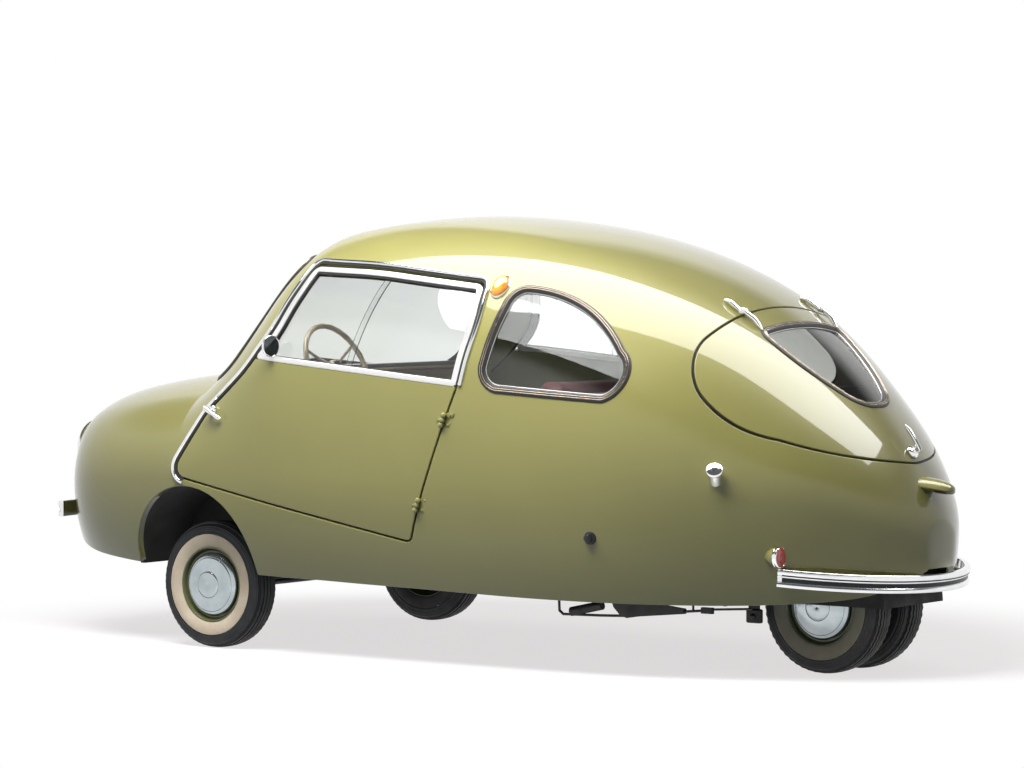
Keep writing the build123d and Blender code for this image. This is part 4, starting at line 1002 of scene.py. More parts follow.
def lathe(shape, at, axis, runs, turns=64, slot=0, wave=None):
    """Turns runs of (along axis, radius) round an axis.  Each run is smooth, with a crease
    between runs; its outer side lies to the left of its travel.  wave shifts columns with angle."""
    a, b, c = frame_of(axis, (0, 0, 1) if abs(axis[2]) < 0.9 else (1, 0, 0))
    angle = round_angles(turns)
    radial = np.cos(angle)[:, None] * b + np.sin(angle)[:, None] * c
    for run in runs:
        run = np.asarray(run, float)
        way = flow(run, False)
        normal = unit_rows(np.stack([-way[:, 1], way[:, 0]], 1), 1e-9)
        along = np.repeat(run[None, :, 0], turns, 0)
        if wave is not None:
            along = along + wave(run, angle)
        rows = np.array(at, float) + along[..., None] * a + radial[:, None] * run[None, :, 1:2]
        normals = normal[None, :, :1] * a + radial[:, None] * normal[None, :, 1:2]
        faced(shape, rows, normals, along=True, slot=slot)


def curve(points, step=1.5):
    """A smooth open run through a few points."""
    points = np.asarray(points, float)
    t = run_length(points)
    m = cubic_slopes(t, points) if len(t) > 3 else np.zeros_like(points)
    return cubic(t, points, m, np.linspace(0, t[-1], max(int(t[-1] / step), 2) + 1))


def swell(path, places, radii):
    """A radius for each point of a path, from a few radii at places between 0 and 1."""
    return np.interp(np.linspace(0, 1, len(path)), places, radii)


ASKEW = (0.31, 0.52, 0.79)       # a direction that no bar of the car lies along


def tube(shape, path, radius, slot=0, sides=14, closed=False):
    """A round bar along a path, closed or with flat ends; radius may change along it."""
    path = np.asarray(path, float)
    t = unit_rows(flow(path, closed))
    b = np.cross(t[0], ASKEW)
    bs = []
    for direction in t:
        b = unit(b - direction * (b @ direction))
        bs.append(b)
    bs = np.array(bs)
    cs = np.cross(t, bs)
    angle = round_angles(sides)
    normals = bs[:, None] * np.cos(angle)[None, :, None] + cs[:, None] * np.sin(angle)[None, :, None]
    sizes = np.broadcast_to(np.asarray(radius, float), len(path))
    rows = path[:, None] + normals * sizes[:, None, None]
    faced(shape, rows, normals, around=True, along=closed, slot=slot)
    if not closed:
        for ring, direction in ((rows[0], -t[0]), (rows[-1], t[-1])):
            turn = np.cross(ring[1] - ring[0], ring[2] - ring[1]) @ direction
            shape.fan(ring, direction, slot, flip=turn < 0)


def slab(shape, outline_points, origin, u, v, thick, edge, slot=0):
    """A flat plate with rolled edges: a closed outline in the plane of u and v, thick along u x v."""
    line = np.asarray(outline_points, float)
    if signed_area(line) < 0:
        line = line[::-1]
    origin, u, v = (np.array(x, float) for x in (origin, u, v))
    w = np.cross(u, v)
    t = unit_rows(flow(line, True))
    out = np.stack([t[:, 1], -t[:, 0]], 1)
    turn = np.linspace(0, pi / 2, 5)
    profile = [(-edge + edge * sin(x), edge - edge * cos(x), sin(x), -cos(x)) for x in turn]
    profile += [(-edge + edge * cos(x), thick - edge + edge * sin(x), cos(x), sin(x)) for x in turn]
    rows, normals = [], []
    for o, h, no, nh in profile:
        flat = line + out * o
        rows.append(origin + flat[:, :1] * u + flat[:, 1:] * v + h * w)
        normals.append((out[:, :1] * u + out[:, 1:] * v) * no + nh * w)
    faced(shape, np.array(rows), np.array(normals), around=True, slot=slot)
    middle = origin + line.mean(0)[0] * u + line.mean(0)[1] * v
    shape.fan(rows[0], -w, slot, flip=True, centre=middle)
    shape.fan(rows[-1], w, slot, centre=middle + w * thick)


def box(shape, low, high, edge, slot=0):
    """A bevelled block between two corners."""
    (x0, y0, z0), (x1, y1, z1) = low, high
    corners = rounded([(x0, y0, edge * 2), (x0, y1, edge * 2), (x1, y1, edge * 2), (x1, y0, edge * 2)])
    slab(shape, corners, (0, 0, z0), (1, 0, 0), (0, 1, 0), z1 - z0, edge, slot)


# ---------------------------------------------------------------- wheels and tyres
tyre_rubber = varied("tyre_rubber", (0.006, 0.007, 0.009), (0.013, 0.014, 0.017), 30.0, rough=(0.5, 0.72),
                     bumps=(420.0, 0.25, 0.0008))
whitewall = varied("aged_whitewall", (0.62, 0.50, 0.37), (0.78, 0.66, 0.52), 14.0, rough=(0.5, 0.65),
                   bumps=(300.0, 0.15, 0.0006), detail=6.0)
# the hubcap's metal is darkened and tinted blue-green: a painted reflection of darker surroundings
cap_metal_with_painted_reflection = varied("hubcap_with_painted_reflection", (0.36, 0.41, 0.43), (0.52, 0.57, 0.59), 9.0, rough=(0.12, 0.24), metal=1.0)
wheel_paint = varied("wheel_paint", (0.088, 0.098, 0.034), (0.105, 0.115, 0.042), 12.0, rough=(0.3, 0.42),
                     Coat_Weight=0.6, Coat_Roughness=0.1)
AXLE_Z, TYRE_R = 200.0, 200.0
FRONT_AXLE_X, FRONT_HALF_TRACK = 765.0, 555.0
REAR_AXLE_X, REAR_HALF_TRACK = -1190.0, 93.0
TYRE_TURNS, WHEEL_TURNS = 144, 96
# profiles of a tyre and wheel: (out from the wheel's middle plane, radius)
OUTER_WALL = [(41, 113), (44.5, 117), (48.4, 127), (51.2, 140), (52, 150), (51.6, 158.5)]
SHOULDER = [(52.0, 159.5), (51.6, 165), (50.2, 171), (50.6, 172.2), (48.9, 176), (49.3, 177.2), (47.0, 181),
            (47.3, 182.2), (44.6, 186.5), (41.6, 190)]
RIBS = (-29.0, -14.5, 0.0, 14.5, 29.0)
RIB_HALF, RIB_HIGH, RIB_BEVEL = 5.4, 4.5, 0.8


def tread():
    """Ribs and grooves over the top of a tyre, from the inner to the outer shoulder."""
    edges = []
    for middle in RIBS:
        crown = TYRE_R - 6.0 * abs(middle / 40.0) ** 2.2
        a, b = middle - RIB_HALF, middle + RIB_HALF
        edges += [(a, crown - RIB_HIGH), (a, crown - RIB_BEVEL), (a + RIB_BEVEL, crown),
                  (b - RIB_BEVEL, crown), (b, crown - RIB_BEVEL), (b, crown - RIB_HIGH)]
    shoulder = [(41.6, 190), (36.6, 190.5), (36.4, 194.5)]
    return np.array([(-x, r) for x, r in shoulder] + edges + shoulder[::-1])


def zigzag(amplitude, teeth):
    """A wave for lathe that zigzags the tread but leaves the shoulders."""
    def wave(run, angle):
        saw = 2 * np.abs(2 * ((angle * teeth / (2 * pi)) % 1.0) - 1) - 1
        return amplitude * saw[:, None] * (np.abs(run[None, :, 0]) < 37.5)
    return wave


def add_tyre(shape, x, y, out, amplitude, teeth):
    """A tyre with a pale outer wall, its tread zigzagging by amplitude with `teeth` to a turn."""
    at, axis = (x, y, AXLE_Z), (0, out, 0)
    ribs = tread()
    lathe(shape, at, axis, [curve(OUTER_WALL, 2.5)[::-1]], TYRE_TURNS, slot=1)
    lathe(shape, at, axis, [curve(SHOULDER, 1.2)[::-1]], TYRE_TURNS)
    lathe(shape, at, axis, [ribs[k:k + 2] for k in range(len(ribs) - 1)], teeth * 2,
          wave=zigzag(amplitude, teeth))
    for profile, step in ((OUTER_WALL, 2.5), (SHOULDER, 1.2)):
        lathe(shape, at, axis, [curve([(-p, r) for p, r in profile], step)], TYRE_TURNS)


def add_wheel(shape, x, y, out):
    """A painted rim and disc with a satin cap pressed in rings; the cap's darker, blue-green colour is a
    painted reflection.
    """
    at, axis = (x, y, AXLE_Z), (0, out, 0)
    flange = curve([(40, 112.5), (44, 115.5), (46.5, 117.6), (47.4, 116.2), (46, 113.8), (41, 111.5)], 1.2)
    well = curve([(41, 111.5), (36, 109.5), (31, 106.5), (30, 101)], 1.5)
    lathe(shape, at, axis, [flange, well], WHEEL_TURNS)
    cap = curve([(34, 98), (36.5, 98.6), (40.5, 97), (45.6, 92), (48.6, 86.5)], 1.2)
    ring = curve([(47.6, 85.4), (49.6, 84.4), (51.4, 80.5), (55.6, 66), (58.4, 52), (59.3, 42.5)], 2.0)
    middle = curve([(57.9, 41.2), (60.4, 39.6), (62.0, 36.5), (63.2, 30), (64.4, 18), (64.2, 8),
                    (63.0, 0.2)], 1.6)
    lathe(shape, at, axis, [cap, [(48.6, 86.5), (47.6, 85.4)], ring, [(59.3, 42.5), (57.9, 41.2)], middle],
          WHEEL_TURNS, slot=1)
    back = [(20, 12.4), (24, 40), (22, 60), (20, 100), (-10, 104), (-36, 107), (-41, 111.5), (-46, 114),
            (-47.4, 116.2), (-46, 117.6), (-42, 115)]
    lathe(shape, at, axis, [back[:2], curve(back[1:4], 3.0), curve(back[3:], 2.0)], WHEEL_TURNS)


for side, name in SIDES:
    tyre_shape, wheel_shape = Shape(), Shape()
    add_tyre(tyre_shape, FRONT_AXLE_X, side * FRONT_HALF_TRACK, side, 0.9, 60)
    add_wheel(wheel_shape, FRONT_AXLE_X, side * FRONT_HALF_TRACK, side)
    body = f"{name}_front_wheel"
    tyre_shape.make(f"front_tyre_{name}_ribbed", [tyre_rubber, whitewall], body, "tyre", f"front_tyre_{name}")
    wheel_shape.make(f"front_wheel_{name}_capped", [wheel_paint, cap_metal_with_painted_reflection], body, "wheel_paint",
                     f"front_wheel_{name}")
tyre_shape, wheel_shape = Shape(), Shape()
for side, _ in SIDES:
    add_tyre(tyre_shape, REAR_AXLE_X, side * REAR_HALF_TRACK, side, 2.2, 54)
    add_wheel(wheel_shape, REAR_AXLE_X, side * REAR_HALF_TRACK, side)
tyre_shape.make("rear_tyres_blocked", [tyre_rubber, whitewall], "rear_wheel_pair", "tyre", "rear_tyres")
wheel_shape.make("rear_wheels_capped", [wheel_paint, cap_metal_with_painted_reflection], "rear_wheel_pair", "wheel_paint",
                 "rear_wheels")

# ------------------------------------------------------------------------ bumpers
BUMPER_SECTION = section([(-21, -26, 2), (-3, -26.5, 5), (0, -19, 6), (-4.5, -12.5, 2), (-7.5, -11, 1.5),
                          (-7.5, 1, 1.5), (-5, 2.5, 1), (-3.8, 6, 1.5), (-6.2, 8.6, 0.6), (-3, 9.2, 2.5),
                          (0, 16, 6), (-4, 26.5, 6), (-21, 26, 2)], 1.0)
# the dark strips laid in the bar's grooves are painted shade, standing for the shade and dark reflection in
# those recesses
GROOVE_SHADE_STRIPS = ([(-8.2, -11.4), (-7.1, -10.8), (-7.1, 1.0), (-8.2, 1.6)],
               [(-6.0, 5.6), (-3.0, 6.2), (-2.4, 10.2), (-4.4, 10.8)])
# one dark finish: the real colour of the side plug, the filler's lock and the wheel's boss, and painted shade
# in the bumper's grooves
black_parts_and_groove_shade = varied("black_parts_and_painted_groove_shade", (0.012, 0.013, 0.016), (0.024, 0.026, 0.032), 40.0, rough=(0.3, 0.4),
                     Specular_IOR_Level=0.3)


def bumper(name, node, apex, radius, end, z, way, stay_y, stay_root, drop=0.0):
    """An arc of ribbed bar with its two stays, hung down by drop degrees about its ends.
    way is 1 at the front of the car and -1 at its back."""
    shape = Shape()
    turn = np.linspace(-asin(end / radius), asin(end / radius), 91)
    out = np.stack([way * np.cos(turn), np.sin(turn), 0 * turn], 1)
    points = np.array([apex - way * radius, 0, z]) + out * radius
    up = np.tile((0.0, 0.0, 1.0), (len(turn), 1))
    sweep(shape, points, up, out, BUMPER_SECTION, False, ends=True)
    # painted shade: dark strips laid in the grooves of the bar
    for strip in GROOVE_SHADE_STRIPS:
        sweep(shape, points[1:-1], up[1:-1], out[1:-1], strip, False, slot=1)
    for y in (stay_y, -stay_y):
        x = apex - way * radius + way * sqrt((radius - 14) ** 2 - y * y)
        box(shape, (min(x, stay_root), y - 14, z - 12), (max(x, stay_root), y + 14, z + 12), 3.0, slot=2)
    ends = np.array([apex - way * radius + way * sqrt(radius ** 2 - end ** 2), 0, z])
    c, s = cos(radians(-drop)), sin(radians(-drop))
    turned = np.array([(c, 0, -s), (0, 1, 0), (s, 0, c)])
    shape.points = [(p - ends) @ turned + ends for p in shape.points]
    shape.normals = [n @ turned for n in shape.normals]
    shape.make(name, [chrome, black_parts_and_groove_shade, black_metal], "car_body", "chrome", node)


bumper("front_bumper_ribbed", "front_bumper", 1563.0, 2600.0, 480.0, 403.0, 1, 250, 1440)
bumper("rear_bumper_ribbed", "rear_bumper", -1548.0, 490.0, 455.0, 309.0, -1, 230, -1360, 5.3)

# ------------------------------------------------------------------------ headlamps
lens = varied("ribbed_lens", (0.88, 0.90, 0.90), (0.95, 0.96, 0.96), 30.0, rough=(0.02, 0.06),
              Transmission_Weight=1.0, IOR=1.48)
FACE = np.array([1502.0, LAMP[0], LAMP[1]])    # the middle of a headlamp's rim
FAIRING_PULL = 0.9        # how strongly the fairing keeps the direction of the skin and of the lamp
lamps = Shape()
ring_points, ring_normals = skin_at(lamp_hole)
ring_angle = np.arctan2(ring_points[:, 2] - LAMP[1], ring_points[:, 1] - LAMP[0])
share = np.linspace(0, 1, 9)[:, None, None]
radial = np.stack([0 * ring_angle, np.cos(ring_angle), np.sin(ring_angle)], 1)
rim_points = FACE + radial * 92.0
start_way = np.cross(flow(ring_points, True), ring_normals)
start_way = unit_rows(start_way * np.sign(-(start_way * radial).sum(1))[:, None])
end_way = np.tile((1.0, 0, 0), (len(ring_angle), 1))
reach = np.linalg.norm(rim_points - ring_points, axis=1)[:, None] * FAIRING_PULL
h00, h10 = 2 * share ** 3 - 3 * share ** 2 + 1, share ** 3 - 2 * share ** 2 + share
h01, h11 = 3 * share ** 2 - 2 * share ** 3, share ** 3 - share ** 2
fairing = h00 * ring_points + h10 * start_way * reach + h01 * rim_points + h11 * end_way * reach
faced(lamps, fairing, facing(fairing, radial + [0.6, 0, 0]), around=True)
rim = curve([(-1, 92.5), (4, 93), (9, 91.5), (13, 87), (14.5, 82), (13, 79)], 1.2)
bowl = curve([(-46, 30), (-34, 50), (-14, 70), (6, 78.5)], 3.0)[::-1]
lathe(lamps, FACE, (1, 0, 0), [rim, bowl], 72, slot=1)
lens_dome = curve([(11, 80.5), (16, 70), (21, 48), (24.5, 22), (25.5, 0.1)], 2.5)
lathe(lamps, FACE, (1, 0, 0), [lens_dome], 72, slot=2)
bowl_back = curve([(-46, 30), (-46, 15), (-46, 0.1)], 4.0)
bulb = curve([(-40, 9), (-28, 9), (-19, 7), (-16, 0.1)], 1.5)
lathe(lamps, FACE, (1, 0, 0), [bowl_back, bulb], 32, slot=1)
lamps.mirror().make("headlamps_glazed", [paint, chrome, lens], "car_body", "headlamp", "headlamps")

# ------------------------------------------------------------------- lamps at the tail
red_lens = varied("red_lens", (0.50, 0.008, 0.006), (0.72, 0.018, 0.012), 60.0, rough=(0.06, 0.14),
                  bumps=(240.0, 0.12, 0.0008), Coat_Weight=1.0, Emission_Strength=0.12,
                  Emission_Color=(0.6, 0.02, 0.01, 1))
TAIL_LAMP = (-1245.0, 447.0, 368.0)
tail = Shape()
tail_ring = curve([(-3.5, 27.5), (-4.5, 29.2), (-2.5, 31), (0, 31.4), (9, 31)], 1.0)
tail_cone = curve([(9, 30), (22, 28), (38, 20), (50, 8), (54, 1)], 3.0)
tail_dome = curve([(1.0, 28.5), (4.6, 24), (7.0, 14), (7.8, 0.1)], 1.2)
for ahead_or_back, line, slot in ((1, tail_ring, 0), (1, tail_cone, 2), (-1, tail_dome, 1)):
    lathe(tail, TAIL_LAMP, (ahead_or_back, 0, 0), [line], 48, slot=slot)
tail.mirror().make("tail_lamps_red", [chrome, red_lens, paint], "car_body", "red_lens", "tail_lamps")

amber_lens = varied("amber_lens", (0.72, 0.20, 0.012), (0.95, 0.36, 0.03), 90.0, rough=(0.08, 0.2),
                    bumps=(160.0, 0.25, 0.001), Coat_Weight=1.0, Emission_Strength=0.10,
                    Emission_Color=(0.9, 0.3, 0.02, 1))
TURN_LAMP, TURN_OUT = np.array([-346.0, 579.0, 1142.0]), unit((-0.18, 0.70, 0.69))
_, long_way, short_way = frame_of(TURN_OUT, (0.0, -0.85, 0.87))
turns = round_angles(48)[:, None]
ellipse = np.cos(turns) * long_way * 43 + np.sin(turns) * short_way * 27


def oval_boss(shape, at, out, ring, steps, slot):
    """A ring stepped out from a place; steps are (share of the ring's size, height)."""
    rows = np.array([at + ring * s + out * h for s, h in steps])
    faced(shape, rows, facing(rows, ring / 20 + out), around=True, slot=slot)


turn_lamp = Shape()
ribs = [(0.92 - 0.02 * k, 5.0 + 1.6 * k + (1.2 if k % 2 else 0)) for k in range(5)]
dome = [(0.78, 15.5), (0.66, 19.0), (0.5, 21.0), (0.25, 22.0), (0.01, 22.3)]
oval_boss(turn_lamp, TURN_LAMP, TURN_OUT, ellipse, [(1.02, -14), (1.04, 1), (1.02, 4), (0.94, 5.5)], 0)
oval_boss(turn_lamp, TURN_LAMP, TURN_OUT, ellipse, ribs + dome, 1)
turn_lamp.mirror().make("turn_lamps_ribbed", [chrome, amber_lens], "car_body", "amber_lens", "turn_lamps")

# ------------------------------------------------------------- fittings of the body
brown_lens = varied("plate_lamp_lens", (0.055, 0.012, 0.008), (0.10, 0.024, 0.014), 50.0, rough=(0.08, 0.16),
                    Coat_Weight=1.0)
# sections of the number plate lamp's hood: x, middle's z, half width, half height above the middle
HOOD = [(-1405, 566, 52, 25), (-1440, 565, 49, 25), (-1480, 562, 44, 24.5), (-1515, 558, 38.5, 22.5),
        (-1540, 554, 32, 19.5), (-1555, 551, 23, 14.5), (-1561, 550, 12, 8), (-1562.5, 549.5, 1, 0.7)]
plate_lamp = Shape()
hood = np.array([[(x, a * cos(t), z + b * sin(t) * (1.0 if sin(t) > 0 else 0.72)) for t in round_angles(40)]
                 for x, z, a, b in HOOD])
faced(plate_lamp, hood, facing(hood, hood - hood.mean((0, 1))), around=True)
lower_side = np.linspace(pi + 0.35, 2 * pi - 0.35, 20)
lens_rows = np.array([[(x, a * cos(t) * 1.03, z + b * sin(t) * 0.74 - 1.0) for t in lower_side]
                      for x, z, a, b in HOOD[3:6]])
faced(plate_lamp, lens_rows + [0, 0, -0.8], facing(lens_rows, (0, 0, -1), around=False), slot=1)
plate_lamp.make("plate_lamp_hood", [paint, brown_lens], "car_body", "paint", "plate_lamp")

filler = Shape()
FILLER_OUT, FILLER_FOOT = unit((-0.35, 0.65, 0.67)), np.array([-1080.0, 535.0, 583.0])
neck = [(4, 21), (50, 21)]
cap = curve([(50, 21), (50.5, 24), (52.5, 25.2), (58, 25.2), (60.5, 24), (61.8, 21.5)], 0.8)
cap_top = curve([(61.8, 21.5), (63.0, 12), (63.4, 0.1)], 1.5)
lathe(filler, FILLER_FOOT, FILLER_OUT, [neck, cap, cap_top], 48)
lock = [(0.0, 6.5), (1.2, 6.2), (1.4, 0.1)]
lathe(filler, FILLER_FOOT + FILLER_OUT * 63.0, FILLER_OUT, [lock], 20, slot=1)
filler.make("filler_cap_chromed", [chrome, black_parts_and_groove_shade], "car_body", "chrome", "fuel_cap")

bracket = Shape()
box(bracket, (-1008, 178, 176), (-968, 184, 232), 2.0)
box(bracket, (-1017, 172, 144), (-962, 192, 186), 5.0)
lathe(bracket, (-990, 192, 164), (0, 1, 0), [curve([(0, 9), (4, 8.6), (7, 6), (8, 0.1)], 1.0)], 24)
bracket.make("tail_bracket_black", black_metal, "car_body", "black_steel")

plug = Shape()
plug_rim = curve([(-20, 19), (3, 19), (6, 17), (7, 13.5)], 1.5)
plug_middle = curve([(7, 13.5), (13, 13), (18, 9.5), (20.2, 4), (20.4, 0.1)], 1.0)
lathe(plug, (-734, 672, 416), (0, 1, 0), [plug_rim, plug_middle], 36)
plug.make("side_plug_black", black_parts_and_groove_shade, "car_body", "rubber", "side_plug")

handle = Shape()
boss = curve([(0, 16), (14, 16), (18, 14.5), (20, 10), (21, 7.5)], 1.2)
stem = curve([(21, 7.5), (30, 6.2), (38, 7)], 2.0)
lathe(handle, (690, 666, 752), (0, 1, 0), [boss, stem], 32)
lever = curve([(706, 702, 763), (696, 704, 757), (680, 704.5, 748), (662, 704, 738), (640, 702, 728)], 3.0)
tube(handle, lever, swell(lever, [0, 0.12, 0.3, 0.55, 0.9, 1], [3.5, 8.0, 7.6, 5.2, 7.4, 3.5]), sides=18)
on_both_doors(handle, "door_handle_{}_chromed", chrome, "chrome", "door_handle_{}")

mirror_glass = varied("mirror_face", (0.16, 0.17, 0.18), (0.21, 0.22, 0.23), 8.0, rough=(0.02, 0.05),
                      metal=1.0)
MIRROR, MIRROR_WAY = (420, 720, 957), unit((-22, 4, 0))
side_mirror = Shape()
back_shell = curve([(-24, 0.1), (-22, 14), (-16, 25), (-7, 32.5), (-1, 34), (1.2, 33), (0.2, 30.5)], 1.5)
lathe(side_mirror, MIRROR, MIRROR_WAY, [back_shell], 48)
lathe(side_mirror, MIRROR, MIRROR_WAY, [[(0.2, 30.5), (0.3, 15), (0.3, 0.1)]], 48, slot=1)
tube(side_mirror, curve([(478, 652, 949), (466, 676, 951), (452, 700, 955), (441, 717, 957)], 4.0), 4.6)
mirror_foot = curve([(-4, 12), (6, 12), (10, 9), (12, 5)], 1.5)
lathe(side_mirror, (478, 654, 949), unit((-0.35, 0.9, 0.05)), [mirror_foot], 24)
side_mirror.make("door_mirror_chromed", [chrome, mirror_glass], "left_door", "chrome", "door_mirror")

# hinges of the tail lid: chrome teardrops on fork and strap
hinge_fixed, hinge_lid = Shape(), Shape()
LID_AXIS_X, LID_AXIS_Z, LID_HINGE_Y = -973.0, 1072.0, 221.0
FORK_EAR = curve([(-3, 0.1), (-3, 6), (-2.4, 8.2), (2.4, 8.2), (3, 6), (3, 0.1)], 0.8)
LID_PIN = curve([(-17.5, 0.1), (-17, 3), (-15, 4), (15, 4), (17, 3), (17.5, 0.1)], 1.0)
STRAP_EYE = curve([(-8, 4.4), (-8, 8), (8, 8), (8, 4.4)], 1.0)
for y in (LID_HINGE_Y, -LID_HINGE_Y):
    axis_at = np.array([LID_AXIS_X, y, LID_AXIS_Z])
    root, knuckle = np.array([-902.0, y * 0.965, 1104.0]), axis_at + [12, 0, 2.0]
    path = curve([root, root * 0.6 + knuckle * 0.4 + [0, 0, 5], knuckle], 3.0)
    tube(hinge_fixed, path, swell(path, [0, 0.15, 0.5, 1], [3.0, 8.6, 9.4, 7.0]), sides=18)
    for a in (-12.0, 12.0):
        lathe(hinge_fixed, axis_at + [0, a, 0], (0, 1, 0), [FORK_EAR], 24)
    lathe(hinge_fixed, axis_at, (0, 1, 0), [LID_PIN], 16)
    start, tip = axis_at + [-3, 0, -1.0], np.array([LID_AXIS_X - 60.0, y * 0.955, LID_AXIS_Z - 55.0])
    path = curve([start, start * 0.5 + tip * 0.5 + [-4, 0, 4.5], tip], 3.0)
    tube(hinge_lid, path, swell(path, [0, 0.3, 0.75, 1], [7.2, 9.2, 8.0, 2.5]), sides=18)
    lathe(hinge_lid, axis_at, (0, 1, 0), [STRAP_EYE], 24)
hinge_fixed.make("lid_hinge_forks", chrome, "car_body", "chrome", "lid_hinges")
GRIP_AT, GRIP_OUT, GRIP_UP = np.array([-1424.0, 0, 659.0]), unit((-0.82, 0, 0.57)), unit((0.57, 0, 0.82))
grip_foot = curve([(-6, 19), (3, 19), (6.5, 16), (8, 9)], 1.2)
grip_stem = curve([(8, 9), (12, 7), (22, 7.5)], 1.5)
lathe(hinge_lid, GRIP_AT, GRIP_OUT, [grip_foot, grip_stem], 36)
grip = curve([GRIP_AT + GRIP_OUT * out + GRIP_UP * along
              for out, along in ((23, -13), (25, 12), (26, 45), (22, 80))], 3.0)
tube(hinge_lid, grip, swell(grip, [0, 0.1, 0.35, 0.8, 1], [3.0, 7.0, 6.4, 7.6, 3.0]), sides=18)
hinge_lid.make("lid_straps_and_grip", chrome, "tail_lid", "chrome", "lid_hardware")

# door hinges: three knuckles, two screwed leaves, all in body colour
EDGE_TOP, EDGE_FOOT, HINGE_Y = (-278.0, 851.0), (-103.0, 381.0), 730.0
LEAN = (EDGE_FOOT[0] - EDGE_TOP[0]) / (EDGE_TOP[1] - EDGE_FOOT[1])
HINGE_UP = unit((-LEAN, 0, 1))
HINGE_HEIGHTS = (491.0, 748.0)
HINGE_PIN = curve([(-25, 0.1), (-24.5, 2.4), (-23, 3), (23, 3), (24.5, 2.4), (25, 0.1)], 1.0)
SCREW_HEAD = curve([(-1, 4.2), (1.2, 3.8), (2.4, 2.4), (2.8, 0.1)], 0.8)
hinge_body, hinge_door = Shape(), Shape()
for z in HINGE_HEIGHTS:
    base = np.array([EDGE_TOP[0] + (EDGE_TOP[1] - z) * LEAN, HINGE_Y, z])
    for a, b, on_door in ((-23, -8, False), (8, 23, False), (-7, 7, True)):
        shape, onward = (hinge_door, 1) if on_door else (hinge_body, -1)
        knuckle = curve([(a, 0.1), (a, 5), (a + 0.8, 6.5), (b - 0.8, 6.5), (b, 5), (b, 0.1)], 0.8)
        lathe(shape, base, HINGE_UP, [knuckle], 24)
        foot, head = (-9, 9) if on_door else (a, b)
        leaf = rounded([(2, foot, 1), (2, head, 1), (29, head, 4), (29, foot, 4)]) * [onward, 1]
        slab(shape, leaf, base + [0, -9, 0], (1, 0, 0), HINGE_UP, 3.0, 1.0)
    lathe(hinge_body, base, HINGE_UP, [HINGE_PIN], 16)
    for shape, x, a in ((hinge_body, -20, -15.5), (hinge_body, -20, 15.5), (hinge_door, 20, 0)):
        lathe(shape, base + np.array([x, -8.5, 0]) + HINGE_UP * a, (0, 1, 0), [SCREW_HEAD], 16)
hinge_body.mirror().make("door_hinge_knuckles", paint, "car_body", "paint", "door_hinges")
on_both_doors(hinge_door, "door_hinge_leaf_{}", paint, "paint")

# ------------------------------------------------------------------------ interior
seat_cloth = varied("oxblood_seat_cloth", (0.085, 0.010, 0.012), (0.13, 0.018, 0.020), 35.0,
                    rough=(0.5, 0.68), bumps=(520.0, 0.35, 0.0012), Sheen_Weight=0.15)
seat_piping = varied("seat_piping", (0.34, 0.30, 0.22), (0.44, 0.39, 0.30), 60.0, rough=(0.4, 0.55))


# a pad: metres, except for its seams, which are in millimetres
PAD_BEVEL, PAD_VOXEL = 0.026, 0.014
PAD_PRESSURE, PAD_FRAMES, PAD_TRAVEL = 4.0, 20, 0.014
SEAM_DEPTH, SEAM_WIDTH = 5.0, 7.0


def applied(thing):
    """Puts the shape that the modifiers give into the mesh itself."""
    graph = bpy.context.evaluated_depsgraph_get()
    graph.update()
    mesh = bpy.data.meshes.new_from_object(thing.evaluated_get(graph))
    thing.modifiers.clear()
    thing.data = mesh


def cushion(name, node, corners, low, high, channels, top_from):
    """A pad blown up by Cloth from a block between 8 corners, then sewn into channels.
    low and high bound it; channels are the y positions of its seams on faces past top_from."""
    bm = bmesh.new()
    vertices = [bm.verts.new(Vector(c) * MM) for c in corners]
    for f in ((0, 1, 2, 3), (7, 6, 5, 4), (0, 4, 5, 1), (1, 5, 6, 2), (2, 6, 7, 3), (3, 7, 4, 0)):
        bm.faces.new([vertices[i] for i in f])
    bmesh.ops.recalc_face_normals(bm, faces=bm.faces)
    bmesh.ops.bevel(bm, geom=bm.edges[:], offset=PAD_BEVEL, segments=4, affect="EDGES", profile=0.5)
    mesh = bpy.data.meshes.new(name)
    bm.to_mesh(mesh)
    bm.free()
    pad = bpy.data.objects.new(name, mesh)
    bpy.context.scene.collection.objects.link(pad)
    remesh = pad.modifiers.new("remesh", "REMESH")
    remesh.mode, remesh.voxel_size = "VOXEL", PAD_VOXEL
    applied(pad)
    start = np.array([v.co for v in pad.data.vertices])
    cloth = pad.modifiers.new("cloth", "CLOTH")
    cloth.settings.use_pressure = True
    cloth.settings.uniform_pressure_force = PAD_PRESSURE
    cloth.settings.effector_weights.gravity = 0.0
    for step in range(1, PAD_FRAMES + 1):
        bpy.context.scene.frame_set(step)
    applied(pad)
    bpy.context.scene.frame_set(1)
    move = np.array([v.co for v in pad.data.vertices]) - start
    size = np.linalg.norm(move, axis=1, keepdims=True)
    move *= np.minimum(1.0, PAD_TRAVEL / np.maximum(size, 1e-9))
    pad.data.vertices.foreach_set("co", (start + move).ravel())
    pad.data.update()
    subdivide = pad.modifiers.new("subdivide", "SUBSURF")
    subdivide.levels = 1
    applied(pad)
    points = np.array([v.co for v in pad.data.vertices]) / MM
    normals = np.array([v.normal for v in pad.data.vertices])
    soft = np.clip((normals @ unit(top_from) - 0.15) / 0.5, 0, 1)
    for y in channels:
        points -= normals * (soft * SEAM_DEPTH * np.exp(-((points[:, 1] - y) / SEAM_WIDTH) ** 2))[:, None]
    points = np.clip(points, low, high)
    pad.data.vertices.foreach_set("co", (points * MM).ravel())
    pad.data.polygons.foreach_set("use_smooth", np.ones(len(pad.data.polygons), bool))
    pad.data.materials.clear()
    pad.data.materials.append(seat_cloth)
    pad.data.update()
    place(pad, "car_body", node)


